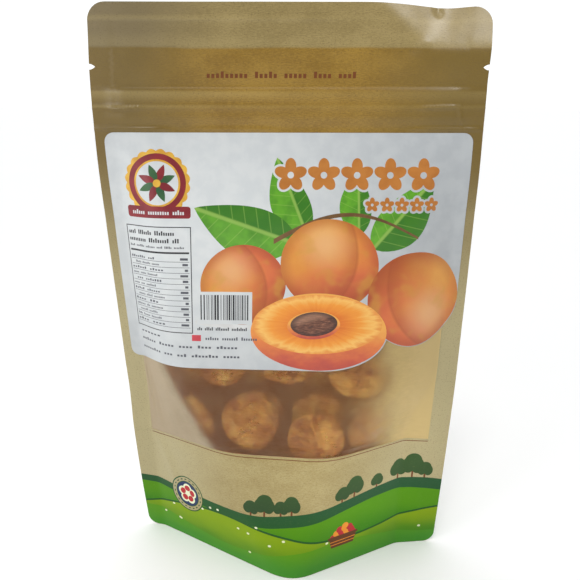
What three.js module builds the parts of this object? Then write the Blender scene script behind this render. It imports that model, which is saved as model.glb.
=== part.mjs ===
// A stand-up zip pouch of kraft-paper laminate, sealed and filled with dried apricots.
// Millimetres, +Z up. The front faces -Y and X runs across. The pouch stands on its bottom rim,
// and the origin is under the middle of it, on the surface that it stands on.
import * as THREE from "three";

// Driving dimensions of the pouch, laid flat.
const WIDTH = 160;
const HEIGHT = 247;
const GUSSET = 57; // height of the folded bottom gusset, at the side seams
const SIDE_SEAM = 9; // width of the welded side seams
const TOP_SEAL = 17; // height of the welded band along the top
const TOP_RADIUS = 7;
const BOTTOM_RADIUS = 5;
const NOTCH_HEIGHT = 223; // tear notches in both sides, above the zip
const NOTCH_DEPTH = 2.4;
const NOTCH_HALF = 1.1;
const ZIP_LOW = 203.5;
const ZIP_RIDGE = 207;
const ZIP_HIGH = 213.5;

// The label, laid flat: 6 by 4 inches, with a lower right corner cut round two fruit shapes.
const LABEL_WIDTH = 152.4;
const LABEL_HEIGHT = 101.6;
const LABEL_TOP = 197.5;
const LABEL_LOW = LABEL_TOP - LABEL_HEIGHT;
const LABEL_RADIUS = 4;
const ROUND_CUT = { u: 55.5, v: 128, radius: 21 };
const OVAL_CUT = { u: 16, v: 113.5, across: 28, up: 113.5 - LABEL_LOW };

// The window, between the side seams: from the gusset line to well behind the label.
const WINDOW_HALF = WIDTH / 2 - SIDE_SEAM;
const WINDOW_TOP = 140;

// Sheets. Each is a closed thin solid, and neighbours stay a hairline apart.
const SHEET = 0.35;
const FILM = 0.25;
const LABEL_SHEET = 0.2;
const GAP = 0.3;

// The zip: a strip on each panel, with a rib on one and two rails beside it on the other. The
// panels rise onto it over a short taper, which starts at a margin round it.
const ZIP_WEB = 0.3;
const ZIP_RIB = 0.6; // how far a rib stands out of its strip
const ZIP_RIB_WIDTH = 1;
const ZIP_RAIL_OFFSET = 1.4;
const ZIP_HALF_SPACE = 0.47; // from the middle plane to each strip
const ZIP_HALF_LENGTH = 68;
const ZIP_TAPER = 2;
const ZIP_MARGIN = 2.5;
const ZIP_FOOT = ZIP_LOW - ZIP_MARGIN;
const ZIP_HEAD = ZIP_HIGH + ZIP_MARGIN;

// How the front panel bows, at five heights: the bottom rim, the gusset line, the label's lower
// edge, where the panel has become flat, and the top. Each arm runs in from a side seam to a
// flatter middle. The turns of the cross-section are in degrees, and the places where one turn
// gives way to the next are in millimetres across. The left seam stands back and the right one
// comes forward, so the pouch has a slight twist.
const PROFILE_HEIGHTS = [0, GUSSET, LABEL_LOW, 160, 205, HEIGHT];
const PROFILE_TURNS = {
  leftSeam: [-13, 0, 0, 0, 0, 0],
  leftArm: [-32, -30.5, -43, -27, 0, 0],
  flatTurn: [-4.5, -6.4, -3.2, -1, 0, 0],
  rightArm: [27.5, 27.5, 27.5, 20, 0, 0],
  rightSeam: [5, -5, -2.5, -1, 0, 0],
};
const PROFILE_PLACES = {
  flatLeft: [-1, -28, -51, -57, -60, -60],
  flatRight: [7.5, 19.5, 49, 56, 60, 60],
  rightArmEnd: [61, 60, 71, 71, 71, 71],
};
const SEAM_SOFTNESS = 5;
const ARM_SOFTNESS = 12;

// The welded top right corner is bent back, further the nearer the corner, and sags a little.
const BEND = { from: 32, to: 60, low: HEIGHT - TOP_SEAL, degrees: 22, sag: 0.6 };

// The gusset: a welded skirt along each rim, and a ridge between them that the load presses down.
const SKIRT = 7;
const RIDGE_MIDDLE = 36;
const RIDGE_END = 52;
const RIDGE_POWER = 1.7;
const GUSSET_HALF = 64;

// The dried apricots: the rows that lie against the front panel, in the middle and against the
// back panel, with the place of each across (x), the height of its middle and its own size.
const FRUIT = { width: 28, height: 28, thickness: 12.4 };
const FRUIT_WAVE = 0.04; // how far its rim waves in, as a share of its size
const FRUIT_HOLLOW = 0.12; // how far its faces are hollowed, as a share of its thickness
const FRUIT_REACH = 0.33; // how far from its middle it is held off a panel, as a share of its size
const FRONT_FRUITS = [
  { x: -44, z: 65, width: 25, thickness: 10 },
  { x: -17.5, z: 69, height: 30 },
  { x: 12, z: 62 },
  { x: 37, z: 64, width: 22.5, height: 27, thickness: 10 },
  { x: -30, z: 97, width: 26, height: 26, thickness: 11 },
  { x: 0, z: 98, width: 30, height: 26 },
  { x: 31, z: 93, width: 28, height: 27, thickness: 11 },
];
const MIDDLE_FRUITS = [-14.5, 14.5].map((x) => ({ x, z: 66, thickness: 11 }));
const TOP_FRUITS = [-27, 2, 30].map((x) => ({ x, z: 118, height: 24, thickness: 10 }));
const BACK_FRUITS = [60, 88].flatMap((z) => [
  { x: -39, z, width: 25, height: 27, thickness: 9.5 },
  { x: -13, z, width: 26, height: 27 },
  { x: 13.5, z, width: 26, height: 27 },
  { x: 39, z, width: 24, height: 27, thickness: 9.5 },
]);
const LOW_FRUITS = [-28, 0, 28].map((x) => ({ x, height: 26, width: 27, thickness: 10 }));
const LOW_FRONT = 34;
const LOW_BACK = 31;

const RADIANS = Math.PI / 180;
const range = (from, to, steps) =>
  Array.from({ length: steps + 1 }, (_, i) => from + ((to - from) * i) / steps);
const smooth = (t) => {
  const k = Math.min(Math.max(t, 0), 1);
  return k * k * (3 - 2 * k);
};

// The smooth curve through `values` at PROFILE_HEIGHTS that never overshoots them.
function alongHeight(values, v) {
  const x = PROFILE_HEIGHTS;
  const last = x.length - 1;
  const slope = x.slice(1).map((h, i) => (values[i + 1] - values[i]) / (h - x[i]));
  const tangent = x.map((_, i) => {
    if (i === 0 || i === last) return slope[Math.min(i, last - 1)];
    const product = slope[i - 1] * slope[i];
    return product <= 0 ? 0 : (2 * product) / (slope[i - 1] + slope[i]);
  });
  const height = Math.min(Math.max(v, x[0]), x[last]);
  const i = Math.min(x.findLastIndex((h) => h <= height), last - 1);
  const span = x[i + 1] - x[i];
  const t = (height - x[i]) / span;
  return (
    values[i] * (2 * t ** 3 - 3 * t ** 2 + 1) +
    span * tangent[i] * (t ** 3 - 2 * t ** 2 + t) +
    values[i + 1] * (3 * t ** 2 - 2 * t ** 3) +
    span * tangent[i + 1] * (t ** 3 - t ** 2)
  );
}

// The front panel's cross-section at height v, as points a quarter of a millimetre apart along it.
const STEP = 0.25;
const HALF = WIDTH / 2;
const INNER = HALF - SIDE_SEAM;
const indexOf = (u) => Math.round((u + HALF) / STEP);

function frontTurn(u, at) {
  const blend = (centre, width) => smooth((u - centre) / width + 0.5);
  return (
    at.leftSeam +
    (at.leftArm - at.leftSeam) * blend(-INNER, SEAM_SOFTNESS) +
    (at.flatTurn - at.leftArm) * blend(at.flatLeft, ARM_SOFTNESS) +
    (at.rightArm - at.flatTurn) * blend(at.flatRight, ARM_SOFTNESS) +
    (at.rightSeam - at.rightArm) * blend(at.rightArmEnd, SEAM_SOFTNESS)
  );
}

// Half the angle of the arc of length 2 * INNER that spans `chord`.
function arcHalfAngle(chord) {
  let low = 0;
  let high = 2;
  for (let i = 0; i < 40; i++) {
    const middle = (low + high) / 2;
    const spanned = (2 * INNER * Math.sin(middle)) / middle;
    if (spanned > chord) low = middle;
    else high = middle;
  }
  return low;
}

const sections = new Map();
function section(v) {
  const key = v.toFixed(4);
  if (sections.has(key)) return sections.get(key);
  const at = {};
  for (const [name, turns] of Object.entries(PROFILE_TURNS)) at[name] = alongHeight(turns, v) * RADIANS;
  for (const [name, places] of Object.entries(PROFILE_PLACES)) at[name] = alongHeight(places, v);
  const count = indexOf(HALF) + 1;
  const front = [{ x: 0, y: 0, turn: frontTurn(-HALF, at) }];
  for (let i = 1; i < count; i++) {
    const turn = frontTurn(-HALF + i * STEP, at);
    const before = front[i - 1];
    const middle = (turn + before.turn) / 2;
    front.push({
      x: before.x + Math.cos(middle) * STEP,
      y: before.y + Math.sin(middle) * STEP,
      turn,
    });
  }
  const left = front[indexOf(-INNER)];
  const right = front[indexOf(INNER)];
  const centre = { x: (left.x + right.x) / 2, y: (left.y + right.y) / 2 };
  for (const point of front) {
    point.x -= centre.x;
    point.y -= centre.y;
  }

  // The back panel shares the seams, and is one arc between them.
  const chord = Math.hypot(right.x - left.x, right.y - left.y);
  const direction = Math.atan2(right.y - left.y, right.x - left.x);
  const half = arcHalfAngle(chord);
  const back = front.map((point) => ({ ...point }));
  for (let i = indexOf(-INNER) + 1; i < indexOf(INNER); i++) {
    const share = (i * STEP - SIDE_SEAM) / (2 * INNER);
    const turn = direction + half * (1 - 2 * share);
    const before = back[i - 1];
    back[i] = {
      x: before.x + Math.cos(turn) * STEP,
      y: before.y + Math.sin(turn) * STEP,
      turn,
    };
  }
  const made = { front, back };
  sections.set(key, made);
  return made;
}

function pointOn(curve, u) {
  const place = Math.min(Math.max((u + HALF) / STEP, 0), curve.length - 1);
  const i = Math.min(Math.floor(place), curve.length - 2);
  const t = place - i;
  const mix = (name) => curve[i][name] * (1 - t) + curve[i + 1][name] * t;
  return { x: mix("x"), y: mix("y"), turn: mix("turn") };
}

// How far the zip holds each panel off the middle plane, at height v and place u along it.
function zipSwell(u, v) {
  const inHeight = smooth((v - ZIP_FOOT) / ZIP_TAPER) * smooth((ZIP_HEAD - v) / ZIP_TAPER);
  const inWidth = smooth((INNER - Math.abs(u)) / ZIP_TAPER);
  return (ZIP_WEB + 2 * GAP) * inHeight * inWidth;
}

// How far back, and how far down, the bent top corner goes.
function cornerBend(u, v) {
  const share = smooth((u - BEND.from) / (BEND.to - BEND.from));
  const length = Math.max(0, v - BEND.low);
  const angle = share * BEND.degrees * RADIANS;
  const sag = (BEND.sag * share * length) / (HEIGHT - BEND.low);
  return { back: Math.sin(angle) * length, down: (1 - Math.cos(angle)) * length + sag };
}

// A point `outward` from the middle of the front panel (side -1) or the back panel (side 1).
function panelPoint(side, u, v, outward = 0) {
  const curves = section(v);
  const { x, y, turn } = pointOn(side < 0 ? curves.front : curves.back, u);
  const away = (GAP + SHEET) / 2 + outward + zipSwell(u, v);
  const bend = cornerBend(u, v);
  return new THREE.Vector3(
    x - side * Math.sin(turn) * away,
    y + side * Math.cos(turn) * away + bend.back,
    v - bend.down,
  );
}

// Where the inside of a panel stands at x and height z.
function insideAt(side, x, z) {
  let low = -INNER;
  let high = INNER;
  for (let i = 0; i < 30; i++) {
    const middle = (low + high) / 2;
    if (panelPoint(side, middle, z).x < x) low = middle;
    else high = middle;
  }
  return panelPoint(side, low, z, -SHEET / 2).y;
}

// A closed sheet between two grids of points. `upper` is the face whose normal is the turn from
// the first index to the second, and `kept` says which cells hold material.
function sheetSolid(columns, rows, upper, lower, kept = () => true) {
  const across = columns.length;
  const corners = [];
  for (const face of [upper, lower])
    for (const row of rows) for (const column of columns) corners.push(face(column, row));
  const id = (face, i, j) => face * across * rows.length + j * across + i;
  const holds = (i, j) =>
    i >= 0 && j >= 0 && i < across - 1 && j < rows.length - 1 &&
    kept((columns[i] + columns[i + 1]) / 2, (rows[j] + rows[j + 1]) / 2);
  const triangles = [];
  const quad = (a, b, c, d) => triangles.push(a, b, c, a, c, d);
  for (let j = 0; j < rows.length - 1; j++)
    for (let i = 0; i < across - 1; i++) {
      if (!holds(i, j)) continue;
      quad(id(0, i, j), id(0, i + 1, j), id(0, i + 1, j + 1), id(0, i, j + 1));
      quad(id(1, i, j), id(1, i, j + 1), id(1, i + 1, j + 1), id(1, i + 1, j));
      if (!holds(i, j - 1)) quad(id(0, i, j), id(1, i, j), id(1, i + 1, j), id(0, i + 1, j));
      if (!holds(i, j + 1))
        quad(id(0, i + 1, j + 1), id(1, i + 1, j + 1), id(1, i, j + 1), id(0, i, j + 1));
      if (!holds(i - 1, j)) quad(id(0, i, j + 1), id(1, i, j + 1), id(1, i, j), id(0, i, j));
      if (!holds(i + 1, j))
        quad(id(0, i + 1, j), id(1, i + 1, j), id(1, i + 1, j + 1), id(0, i + 1, j + 1));
    }
  const geometry = new THREE.BufferGeometry();
  const positions = triangles.flatMap((index) => corners[index].toArray());
  geometry.setAttribute("position", new THREE.Float32BufferAttribute(positions, 3));
  geometry.computeVertexNormals();
  return geometry;
}

// How far a corner's arc of `radius` stands above its centre, `inset` along from that centre.
const arcRise = (radius, inset) => Math.sqrt(Math.max(radius ** 2 - Math.max(inset, 0) ** 2, 0));

// Half the panel's width at height v, with its rounded corners and its tear notches.
function halfWidth(v) {
  const low = BOTTOM_RADIUS - arcRise(BOTTOM_RADIUS, BOTTOM_RADIUS - v);
  const high = TOP_RADIUS - arcRise(TOP_RADIUS, TOP_RADIUS - (HEIGHT - v));
  const notch = NOTCH_DEPTH * Math.max(0, 1 - Math.abs(v - NOTCH_HEIGHT) / NOTCH_HALF);
  return HALF - low - high - notch;
}

// The rows and columns of points on the panels: closer at the corners, the notches and the zip,
// and where the cross-section turns.
const CORNER_SHARES = [0, 0.3, 0.6, 1];
const OUTLINE_ROWS = [
  ...CORNER_SHARES.map((share) => share * BOTTOM_RADIUS),
  ...range(3 * BOTTOM_RADIUS, GUSSET, 4),
  ...range(GUSSET, LABEL_LOW, 3).slice(1),
  ...range(LABEL_LOW, WINDOW_TOP, 3).slice(1),
  ...range(WINDOW_TOP, ZIP_FOOT, 5).slice(1),
  ZIP_FOOT + ZIP_TAPER, ZIP_RIDGE, ZIP_HEAD - ZIP_TAPER, ZIP_HEAD,
  NOTCH_HEIGHT - NOTCH_HALF, NOTCH_HEIGHT, NOTCH_HEIGHT + NOTCH_HALF, HEIGHT - TOP_SEAL,
  ...CORNER_SHARES.toReversed().map((share) => HEIGHT - share * TOP_RADIUS),
];
const SEAM_COLUMNS = [INNER - ZIP_TAPER, INNER, INNER + ZIP_TAPER];
const PANEL_COLUMNS = [
  -HALF, ...SEAM_COLUMNS.map((u) => -u).reverse(), -62,
  ...range(-54, 6, 6), 13, 21, BEND.from, 42, 51, BEND.to, GUSSET_HALF, ...SEAM_COLUMNS, HALF,
];

function panel(side, kept) {
  // A row that is narrower than the whole panel keeps its columns, drawn together.
  const face = (toFront) => (u, v) =>
    panelPoint(side, (u / HALF) * halfWidth(v), v, (-side * toFront * SHEET) / 2);
  return sheetSolid(PANEL_COLUMNS, OUTLINE_ROWS, face(1), face(-1), kept);
}

const inWindow = (u, v) => Math.abs(u) < WINDOW_HALF && v > GUSSET && v < WINDOW_TOP;

// The film lies in the window, flush with the paper round it.
function windowFilm() {
  const edge = WINDOW_HALF - GAP;
  const columns = PANEL_COLUMNS.filter((u) => Math.abs(u) < edge);
  const rows = OUTLINE_ROWS.filter((v) => v > GUSSET && v < WINDOW_TOP);
  return sheetSolid(
    [-edge, ...columns, edge],
    [GUSSET + GAP, ...rows, WINDOW_TOP - GAP],
    (u, v) => panelPoint(-1, u, v, FILM / 2),
    (u, v) => panelPoint(-1, u, v, -FILM / 2),
  );
}

function labelTop(u) {
  const inset = Math.abs(u) - LABEL_WIDTH / 2 + LABEL_RADIUS;
  return LABEL_TOP - LABEL_RADIUS + arcRise(LABEL_RADIUS, inset);
}

function labelBottom(u) {
  const inset = -u - LABEL_WIDTH / 2 + LABEL_RADIUS;
  if (u < OVAL_CUT.u) return LABEL_LOW + LABEL_RADIUS - arcRise(LABEL_RADIUS, inset);
  const lower = (cut, across, up) => {
    const share = (u - cut.u) / across;
    return Math.abs(share) > 1 ? Infinity : cut.v - up * Math.sqrt(1 - share ** 2);
  };
  const oval = lower(OVAL_CUT, OVAL_CUT.across, OVAL_CUT.up);
  const round = lower(ROUND_CUT, ROUND_CUT.radius, ROUND_CUT.radius);
  return Math.min(oval, round);
}

// The label lies on the paper and the film, a hairline in front of them.
function label() {
  const half = LABEL_WIDTH / 2;
  const cut = range(OVAL_CUT.u + 5, INNER - ZIP_TAPER, 9);
  const plain = PANEL_COLUMNS.filter((u) => Math.abs(u) < half && (u <= OVAL_CUT.u || u >= INNER));
  const columns = [-half, -half + 1, ...plain, OVAL_CUT.u, ...cut, half - 1, half];
  columns.sort((a, b) => a - b);
  const point = (outward) => (u, share) =>
    panelPoint(-1, u, THREE.MathUtils.lerp(labelBottom(u), labelTop(u), share), outward);
  const lift = SHEET / 2 + GAP;
  return sheetSolid(columns, range(0, 1, 9), point(lift + LABEL_SHEET), point(lift));
}

// The gusset runs from one rim to the other: `s` goes from -2 at the foot of the front skirt to 2
// at the foot of the back one, and its ridge is at 0.
const GUSSET_ROWS = [0, 0.15, 0.45, 0.75, 1, 2];
function gussetPoint(u, s, upper) {
  const side = s < 0 ? -1 : 1;
  const reach = Math.abs(s);
  const inward = -SHEET / 2 - GAP - (upper ? 0 : SHEET);
  if (reach > 1) return panelPoint(side, u, (2 - reach) * SKIRT, inward);
  const front = panelPoint(-1, u, SKIRT, inward);
  const back = panelPoint(1, u, SKIRT, inward);
  const point = front.lerp(back, (s + 1) / 2);
  const ridge = THREE.MathUtils.lerp(RIDGE_MIDDLE, RIDGE_END, (u / GUSSET_HALF) ** 2);
  point.z = SKIRT + (ridge - SKIRT) * (1 - reach) ** RIDGE_POWER + (upper ? SHEET : 0);
  return point;
}

function gusset() {
  const rows = [...GUSSET_ROWS.slice(1).map((s) => -s).reverse(), ...GUSSET_ROWS];
  const inside = PANEL_COLUMNS.filter((u) => Math.abs(u) < GUSSET_HALF);
  const face = (upper) => (u, s) => gussetPoint(u, s, upper);
  return sheetSolid([-GUSSET_HALF, ...inside, GUSSET_HALF], rows, face(true), face(false));
}

// Each half of the zip: a strip along the panel, and ribs that stand out of it towards the other,
// each at its offset from the zip's ridge line.
function zipStrip(side, ribs) {
  const outside = side * (ZIP_HALF_SPACE + ZIP_WEB);
  const inside = side * ZIP_HALF_SPACE;
  const ribTop = side * (ZIP_HALF_SPACE - ZIP_RIB);
  const shape = new THREE.Shape();
  shape.moveTo(outside, ZIP_LOW);
  shape.lineTo(inside, ZIP_LOW);
  for (const offset of ribs) {
    const [low, high] = [-1, 1].map((end) => ZIP_RIDGE + offset + (end * ZIP_RIB_WIDTH) / 2);
    shape.lineTo(inside, low);
    shape.lineTo(ribTop, low);
    shape.lineTo(ribTop, high);
    shape.lineTo(inside, high);
  }
  shape.lineTo(inside, ZIP_HIGH);
  shape.lineTo(outside, ZIP_HIGH);
  const geometry = new THREE.ExtrudeGeometry(shape, {
    depth: 2 * ZIP_HALF_LENGTH,
    bevelEnabled: false,
  });
  // The section was drawn as (y, z), so it is turned to run along X.
  const turn = new THREE.Matrix4().makeBasis(
    new THREE.Vector3(0, 1, 0),
    new THREE.Vector3(0, 0, 1),
    new THREE.Vector3(1, 0, 0),
  );
  return geometry.applyMatrix4(turn).translate(-ZIP_HALF_LENGTH, 0, 0);
}

// A dried apricot: a flattened disc with a wavy rim and hollowed faces.
function driedApricot(width, height, thickness, turn) {
  const geometry = new THREE.SphereGeometry(1, 12, 8);
  const position = geometry.getAttribute("position");
  for (let i = 0; i < position.count; i++) {
    const [x, y, z] = [position.getX(i), position.getY(i), position.getZ(i)];
    const rim = Math.hypot(x, z);
    const angle = Math.atan2(z, x);
    const swing = Math.sin(2 * angle + turn) * Math.sin(3 * angle + 2 * turn);
    const wave = 1 - FRUIT_WAVE * rim * (1 + swing);
    const hollow = 1 - FRUIT_HOLLOW * (1 - rim ** 2);
    position.setXYZ(i, (x * wave * width) / 2, (y * hollow * thickness) / 2, (z * wave * height) / 2);
  }
  return geometry;
}

const MATERIALS = {
  kraft: new THREE.MeshStandardMaterial({ color: 0xb7a16c, roughness: 0.62, metalness: 0 }),
  film: new THREE.MeshStandardMaterial({
    color: 0xd9d2c4, roughness: 0.45, metalness: 0, transparent: true, opacity: 0.45,
  }),
  zip: new THREE.MeshStandardMaterial({ color: 0xe8e6de, roughness: 0.35, metalness: 0 }),
  label: new THREE.MeshStandardMaterial({ color: 0xf2f4f4, roughness: 0.25, metalness: 0 }),
  fruit: new THREE.MeshStandardMaterial({ color: 0xc87b33, roughness: 0.5, metalness: 0 }),
};

const pouch = new THREE.Group();
function add(name, geometry, material) {
  const mesh = new THREE.Mesh(geometry, material.clone());
  mesh.name = name;
  pouch.add(mesh);
  return mesh;
}

add("front_panel", panel(-1, (u, v) => !inWindow(u, v)), MATERIALS.kraft);
add("back_panel", panel(1), MATERIALS.kraft);
add("bottom_gusset", gusset(), MATERIALS.kraft);
add("window_film", windowFilm(), MATERIALS.film);
add("front_label", label(), MATERIALS.label);
add("zip_strip_front", zipStrip(-1, [0]), MATERIALS.zip);
add("zip_strip_back", zipStrip(1, [-ZIP_RAIL_OFFSET, ZIP_RAIL_OFFSET]), MATERIALS.zip);

// The apricots. Each lies against the panel that it faces, tilted as that panel leans.
let fruits = 0;
function placeFruit({ x, z, width, height, thickness }, y, lean, turn) {
  fruits += 1;
  const name = `dried_apricot_${String(fruits).padStart(2, "0")}`;
  const mesh = add(name, driedApricot(width, height, thickness, fruits * 1.3), MATERIALS.fruit);
  mesh.position.set(x, y, z);
  mesh.rotation.set(lean, 0, turn, "ZXY");
}

function layAgainst(side, given) {
  const fruit = { ...FRUIT, ...given };
  const [reachX, reachZ] = [fruit.width * FRUIT_REACH, fruit.height * FRUIT_REACH];
  const at = (dx, dz) => insideAt(side, fruit.x + dx, fruit.z + dz);
  const turn = Math.atan2(at(reachX, 0) - at(-reachX, 0), 2 * reachX);
  const lean = -Math.atan2(at(0, reachZ) - at(0, -reachZ), 2 * reachZ);
  const touching = [[0, 0], [1, 0], [-1, 0], [0, 1], [0, -1]].map(([i, k]) => {
    const [dx, dz] = [i * reachX, k * reachZ];
    return side * (at(dx, dz) - Math.tan(turn) * dx + Math.tan(lean) * dz);
  });
  const clearance = fruit.thickness / (2 * Math.cos(turn) * Math.cos(lean)) + GAP;
  placeFruit(fruit, side * (Math.min(...touching) - clearance), lean, turn);
}

for (const fruit of FRONT_FRUITS) layAgainst(-1, fruit);
for (const fruit of [...MIDDLE_FRUITS, ...TOP_FRUITS]) {
  const [front, back] = [insideAt(-1, fruit.x, fruit.z), insideAt(1, fruit.x, fruit.z)];
  placeFruit({ ...FRUIT, ...fruit }, (front + back) / 2, 0, 0);
}
for (const fruit of BACK_FRUITS) layAgainst(1, fruit);
for (const fruit of LOW_FRUITS) {
  layAgainst(-1, { ...fruit, z: LOW_FRONT });
  layAgainst(1, { ...fruit, z: LOW_BACK });
}

// The origin goes under the middle of the pouch's box, on the surface that it stands on.
const box = new THREE.Box3().setFromObject(pouch);
const middle = box.getCenter(new THREE.Vector3());
pouch.position.set(-middle.x, -middle.y, -box.min.z);

const part = new THREE.Group();
part.add(pouch);
export default part;
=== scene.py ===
"""A kraft-paper stand-up pouch of dried apricots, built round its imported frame.

The flat sheets are described in millimetres, where u runs across and v up. panel_point() bends a
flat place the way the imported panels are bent, and a mesh is turned into metres as it is made.
"""

import math
import random
from collections import namedtuple

import bmesh
import bpy
import numpy as np
from mathutils import Matrix, Vector
from mathutils.bvhtree import BVHTree
from mathutils.geometry import delaunay_2d_cdt


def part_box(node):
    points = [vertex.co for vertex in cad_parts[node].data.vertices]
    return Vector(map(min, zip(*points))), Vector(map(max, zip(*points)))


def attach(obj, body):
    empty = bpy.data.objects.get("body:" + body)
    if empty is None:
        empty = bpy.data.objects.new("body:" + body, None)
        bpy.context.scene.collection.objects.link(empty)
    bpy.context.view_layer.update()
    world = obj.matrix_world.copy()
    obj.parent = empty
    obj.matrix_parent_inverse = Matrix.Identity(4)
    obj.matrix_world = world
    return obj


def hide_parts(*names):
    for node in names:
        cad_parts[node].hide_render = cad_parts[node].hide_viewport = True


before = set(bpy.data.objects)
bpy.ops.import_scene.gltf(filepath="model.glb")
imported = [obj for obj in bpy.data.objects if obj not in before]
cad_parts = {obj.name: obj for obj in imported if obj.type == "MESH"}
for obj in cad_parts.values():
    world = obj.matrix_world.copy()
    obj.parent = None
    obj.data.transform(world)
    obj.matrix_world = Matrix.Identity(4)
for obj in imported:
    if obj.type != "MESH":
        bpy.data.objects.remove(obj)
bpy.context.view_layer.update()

MM = 0.001

# The pouch laid flat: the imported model's driving dimensions.
WIDTH = 160
HEIGHT = 247
GUSSET = 57  # height of the bottom gusset's fold
SIDE_SEAM = 9
TOP_SEAL = 17
TOP_RADIUS = 7
BOTTOM_RADIUS = 5
NOTCH_HEIGHT = 223
NOTCH_DEPTH = 2.4
NOTCH_HALF = 1.1
ZIP_LOW = 203.5
ZIP_RIDGE = 207
ZIP_HIGH = 213.5
ZIP_WEB = 0.3
ZIP_HALF_SPACE = 0.47
ZIP_FOOT = ZIP_LOW - 2.5
ZIP_HEAD = ZIP_HIGH + 2.2
HALF = WIDTH / 2
INNER = HALF - SIDE_SEAM
BAND_BOTTOM = HEIGHT - TOP_SEAL
BAND_LINE = 241.4  # a line pressed into the welded top band

LABEL_HALF = 76.2
LABEL_TOP = 197.5
LABEL_LOW = 95.9
LABEL_RADIUS = 4
WINDOW_TOP = 140
# The two printed fruits that the label's lower edge is cut round: their middles and half sizes.
Cut = namedtuple("Cut", "u v across up")
ROUND_CUT = Cut(55.5, 128, 21, 21)
OVAL_CUT = Cut(16, 113.5, 28, 113.5 - LABEL_LOW)

SHEET = 0.35
FILM = 0.25
LABEL_SHEET = 0.2
GAP = 0.3
TOUCH = 0.02  # what welded or glued layers keep between them

# The front's cross-section is two seams, two slanting arms and a flat part between them. These
# are their turns, and the places where they meet, at each of the heights.
PROFILE_HEIGHTS = [0, GUSSET, LABEL_LOW, 160, 205, HEIGHT]
PROFILE_TURNS = {
    "left_seam": [-13, 0, 0, 0, 0, 0],
    "left_arm": [-32, -30.5, -43, -27, 0, 0],
    "flat_turn": [-4.5, -6.4, -3.2, -1, 0, 0],
    "right_arm": [27.5, 27.5, 27.5, 20, 0, 0],
    "right_seam": [5, -5, -2.5, -1, 0, 0],
}
PROFILE_PLACES = {
    "flat_left": [-1, -28, -51, -57, -60, -60],
    "flat_right": [7.5, 19.5, 49, 56, 60, 60],
    "right_arm_end": [61, 60, 71, 71, 71, 71],
}
SEAM_SOFTNESS = 5
ARM_SOFTNESS = [16, 26, 26, 16, 12, 12]
LEAN = 1.2  # how far the top edge leans to the right
LEAN_START = 215

# The top right corner is bent back beyond a slanting and a level fold.
BEND_START = (33, HEIGHT + 1)
BEND_CORNER = (55, BAND_BOTTOM)
BEND_DEGREES = 22
BEND_SOFTNESS = 1.5

SKIRT = 7
RIDGE_MIDDLE = 36
RIDGE_END = 52
RIDGE_POWER = 1.7
GUSSET_HALF = 64

FRONT = -1
BACK = 1
STEP = 0.25  # between the places of the tables that panel_point() reads
# Pressed lines and how far they reach, where the sheets need more rows of corners.
PRESSED_LINES = [
    (GUSSET - 0.6, 1.8), (LABEL_TOP + 1.7, 2), (ZIP_RIDGE, 3.6),
    (ZIP_HEAD - 1.2, 2), (BAND_LINE, 3), (BAND_BOTTOM, 0.6),
]
LINE_ROWS = [
    line + step for line, reach in PRESSED_LINES for step in np.arange(-reach, reach + 0.1, 0.4)
]


def smooth(t):
    """0 below 0, 1 above 1, and a soft step between."""
    k = np.clip(t, 0, 1)
    return k * k * (3 - 2 * k)


def ridge(distance, width):
    """A soft ridge of height 1 along the line where distance is 0."""
    return np.exp(-((distance / width) ** 2))


def turned(u, v, degrees):
    """Flat places, turned about the origin, one row each."""
    c, s = math.cos(math.radians(degrees)), math.sin(math.radians(degrees))
    return np.stack([u * c - v * s, u * s + v * c], axis=-1)


def along_height(values, v):
    """The smooth curve through values at PROFILE_HEIGHTS that never overshoots them."""
    x = np.array(PROFILE_HEIGHTS, float)
    y = np.array(values, float)
    slope = np.diff(y) / np.diff(x)
    product = slope[:-1] * slope[1:]
    total = np.where(product > 0, slope[:-1] + slope[1:], 1)
    tangent = np.concatenate([slope[:1], np.where(product > 0, 2 * product / total, 0), slope[-1:]])
    i = np.clip(np.searchsorted(x, v, side="right") - 1, 0, len(x) - 2)
    span = x[i + 1] - x[i]
    t = (np.clip(v, x[0], x[-1]) - x[i]) / span
    return (
        y[i] * (2 * t**3 - 3 * t**2 + 1)
        + span * tangent[i] * (t**3 - 2 * t**2 + t)
        + y[i + 1] * (3 * t**2 - 2 * t**3)
        + span * tangent[i + 1] * (t**3 - t**2)
    )


def arc_half_angle(chord):
    """Half the angle of the arc of length 2 * INNER that spans chord."""
    low = np.full_like(chord, 1e-6)
    high = np.full_like(chord, 2.0)
    for _ in range(40):
        middle = (low + high) / 2
        too_flat = 2 * INNER * np.sin(middle) / middle > chord
        low = np.where(too_flat, middle, low)
        high = np.where(too_flat, high, middle)
    return low


def walked(turns):
    """x and y after each step across the sheet in the directions that turns give."""
    return np.cumsum(np.stack([np.cos(turns), np.sin(turns)]) * STEP, axis=2)


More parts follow.
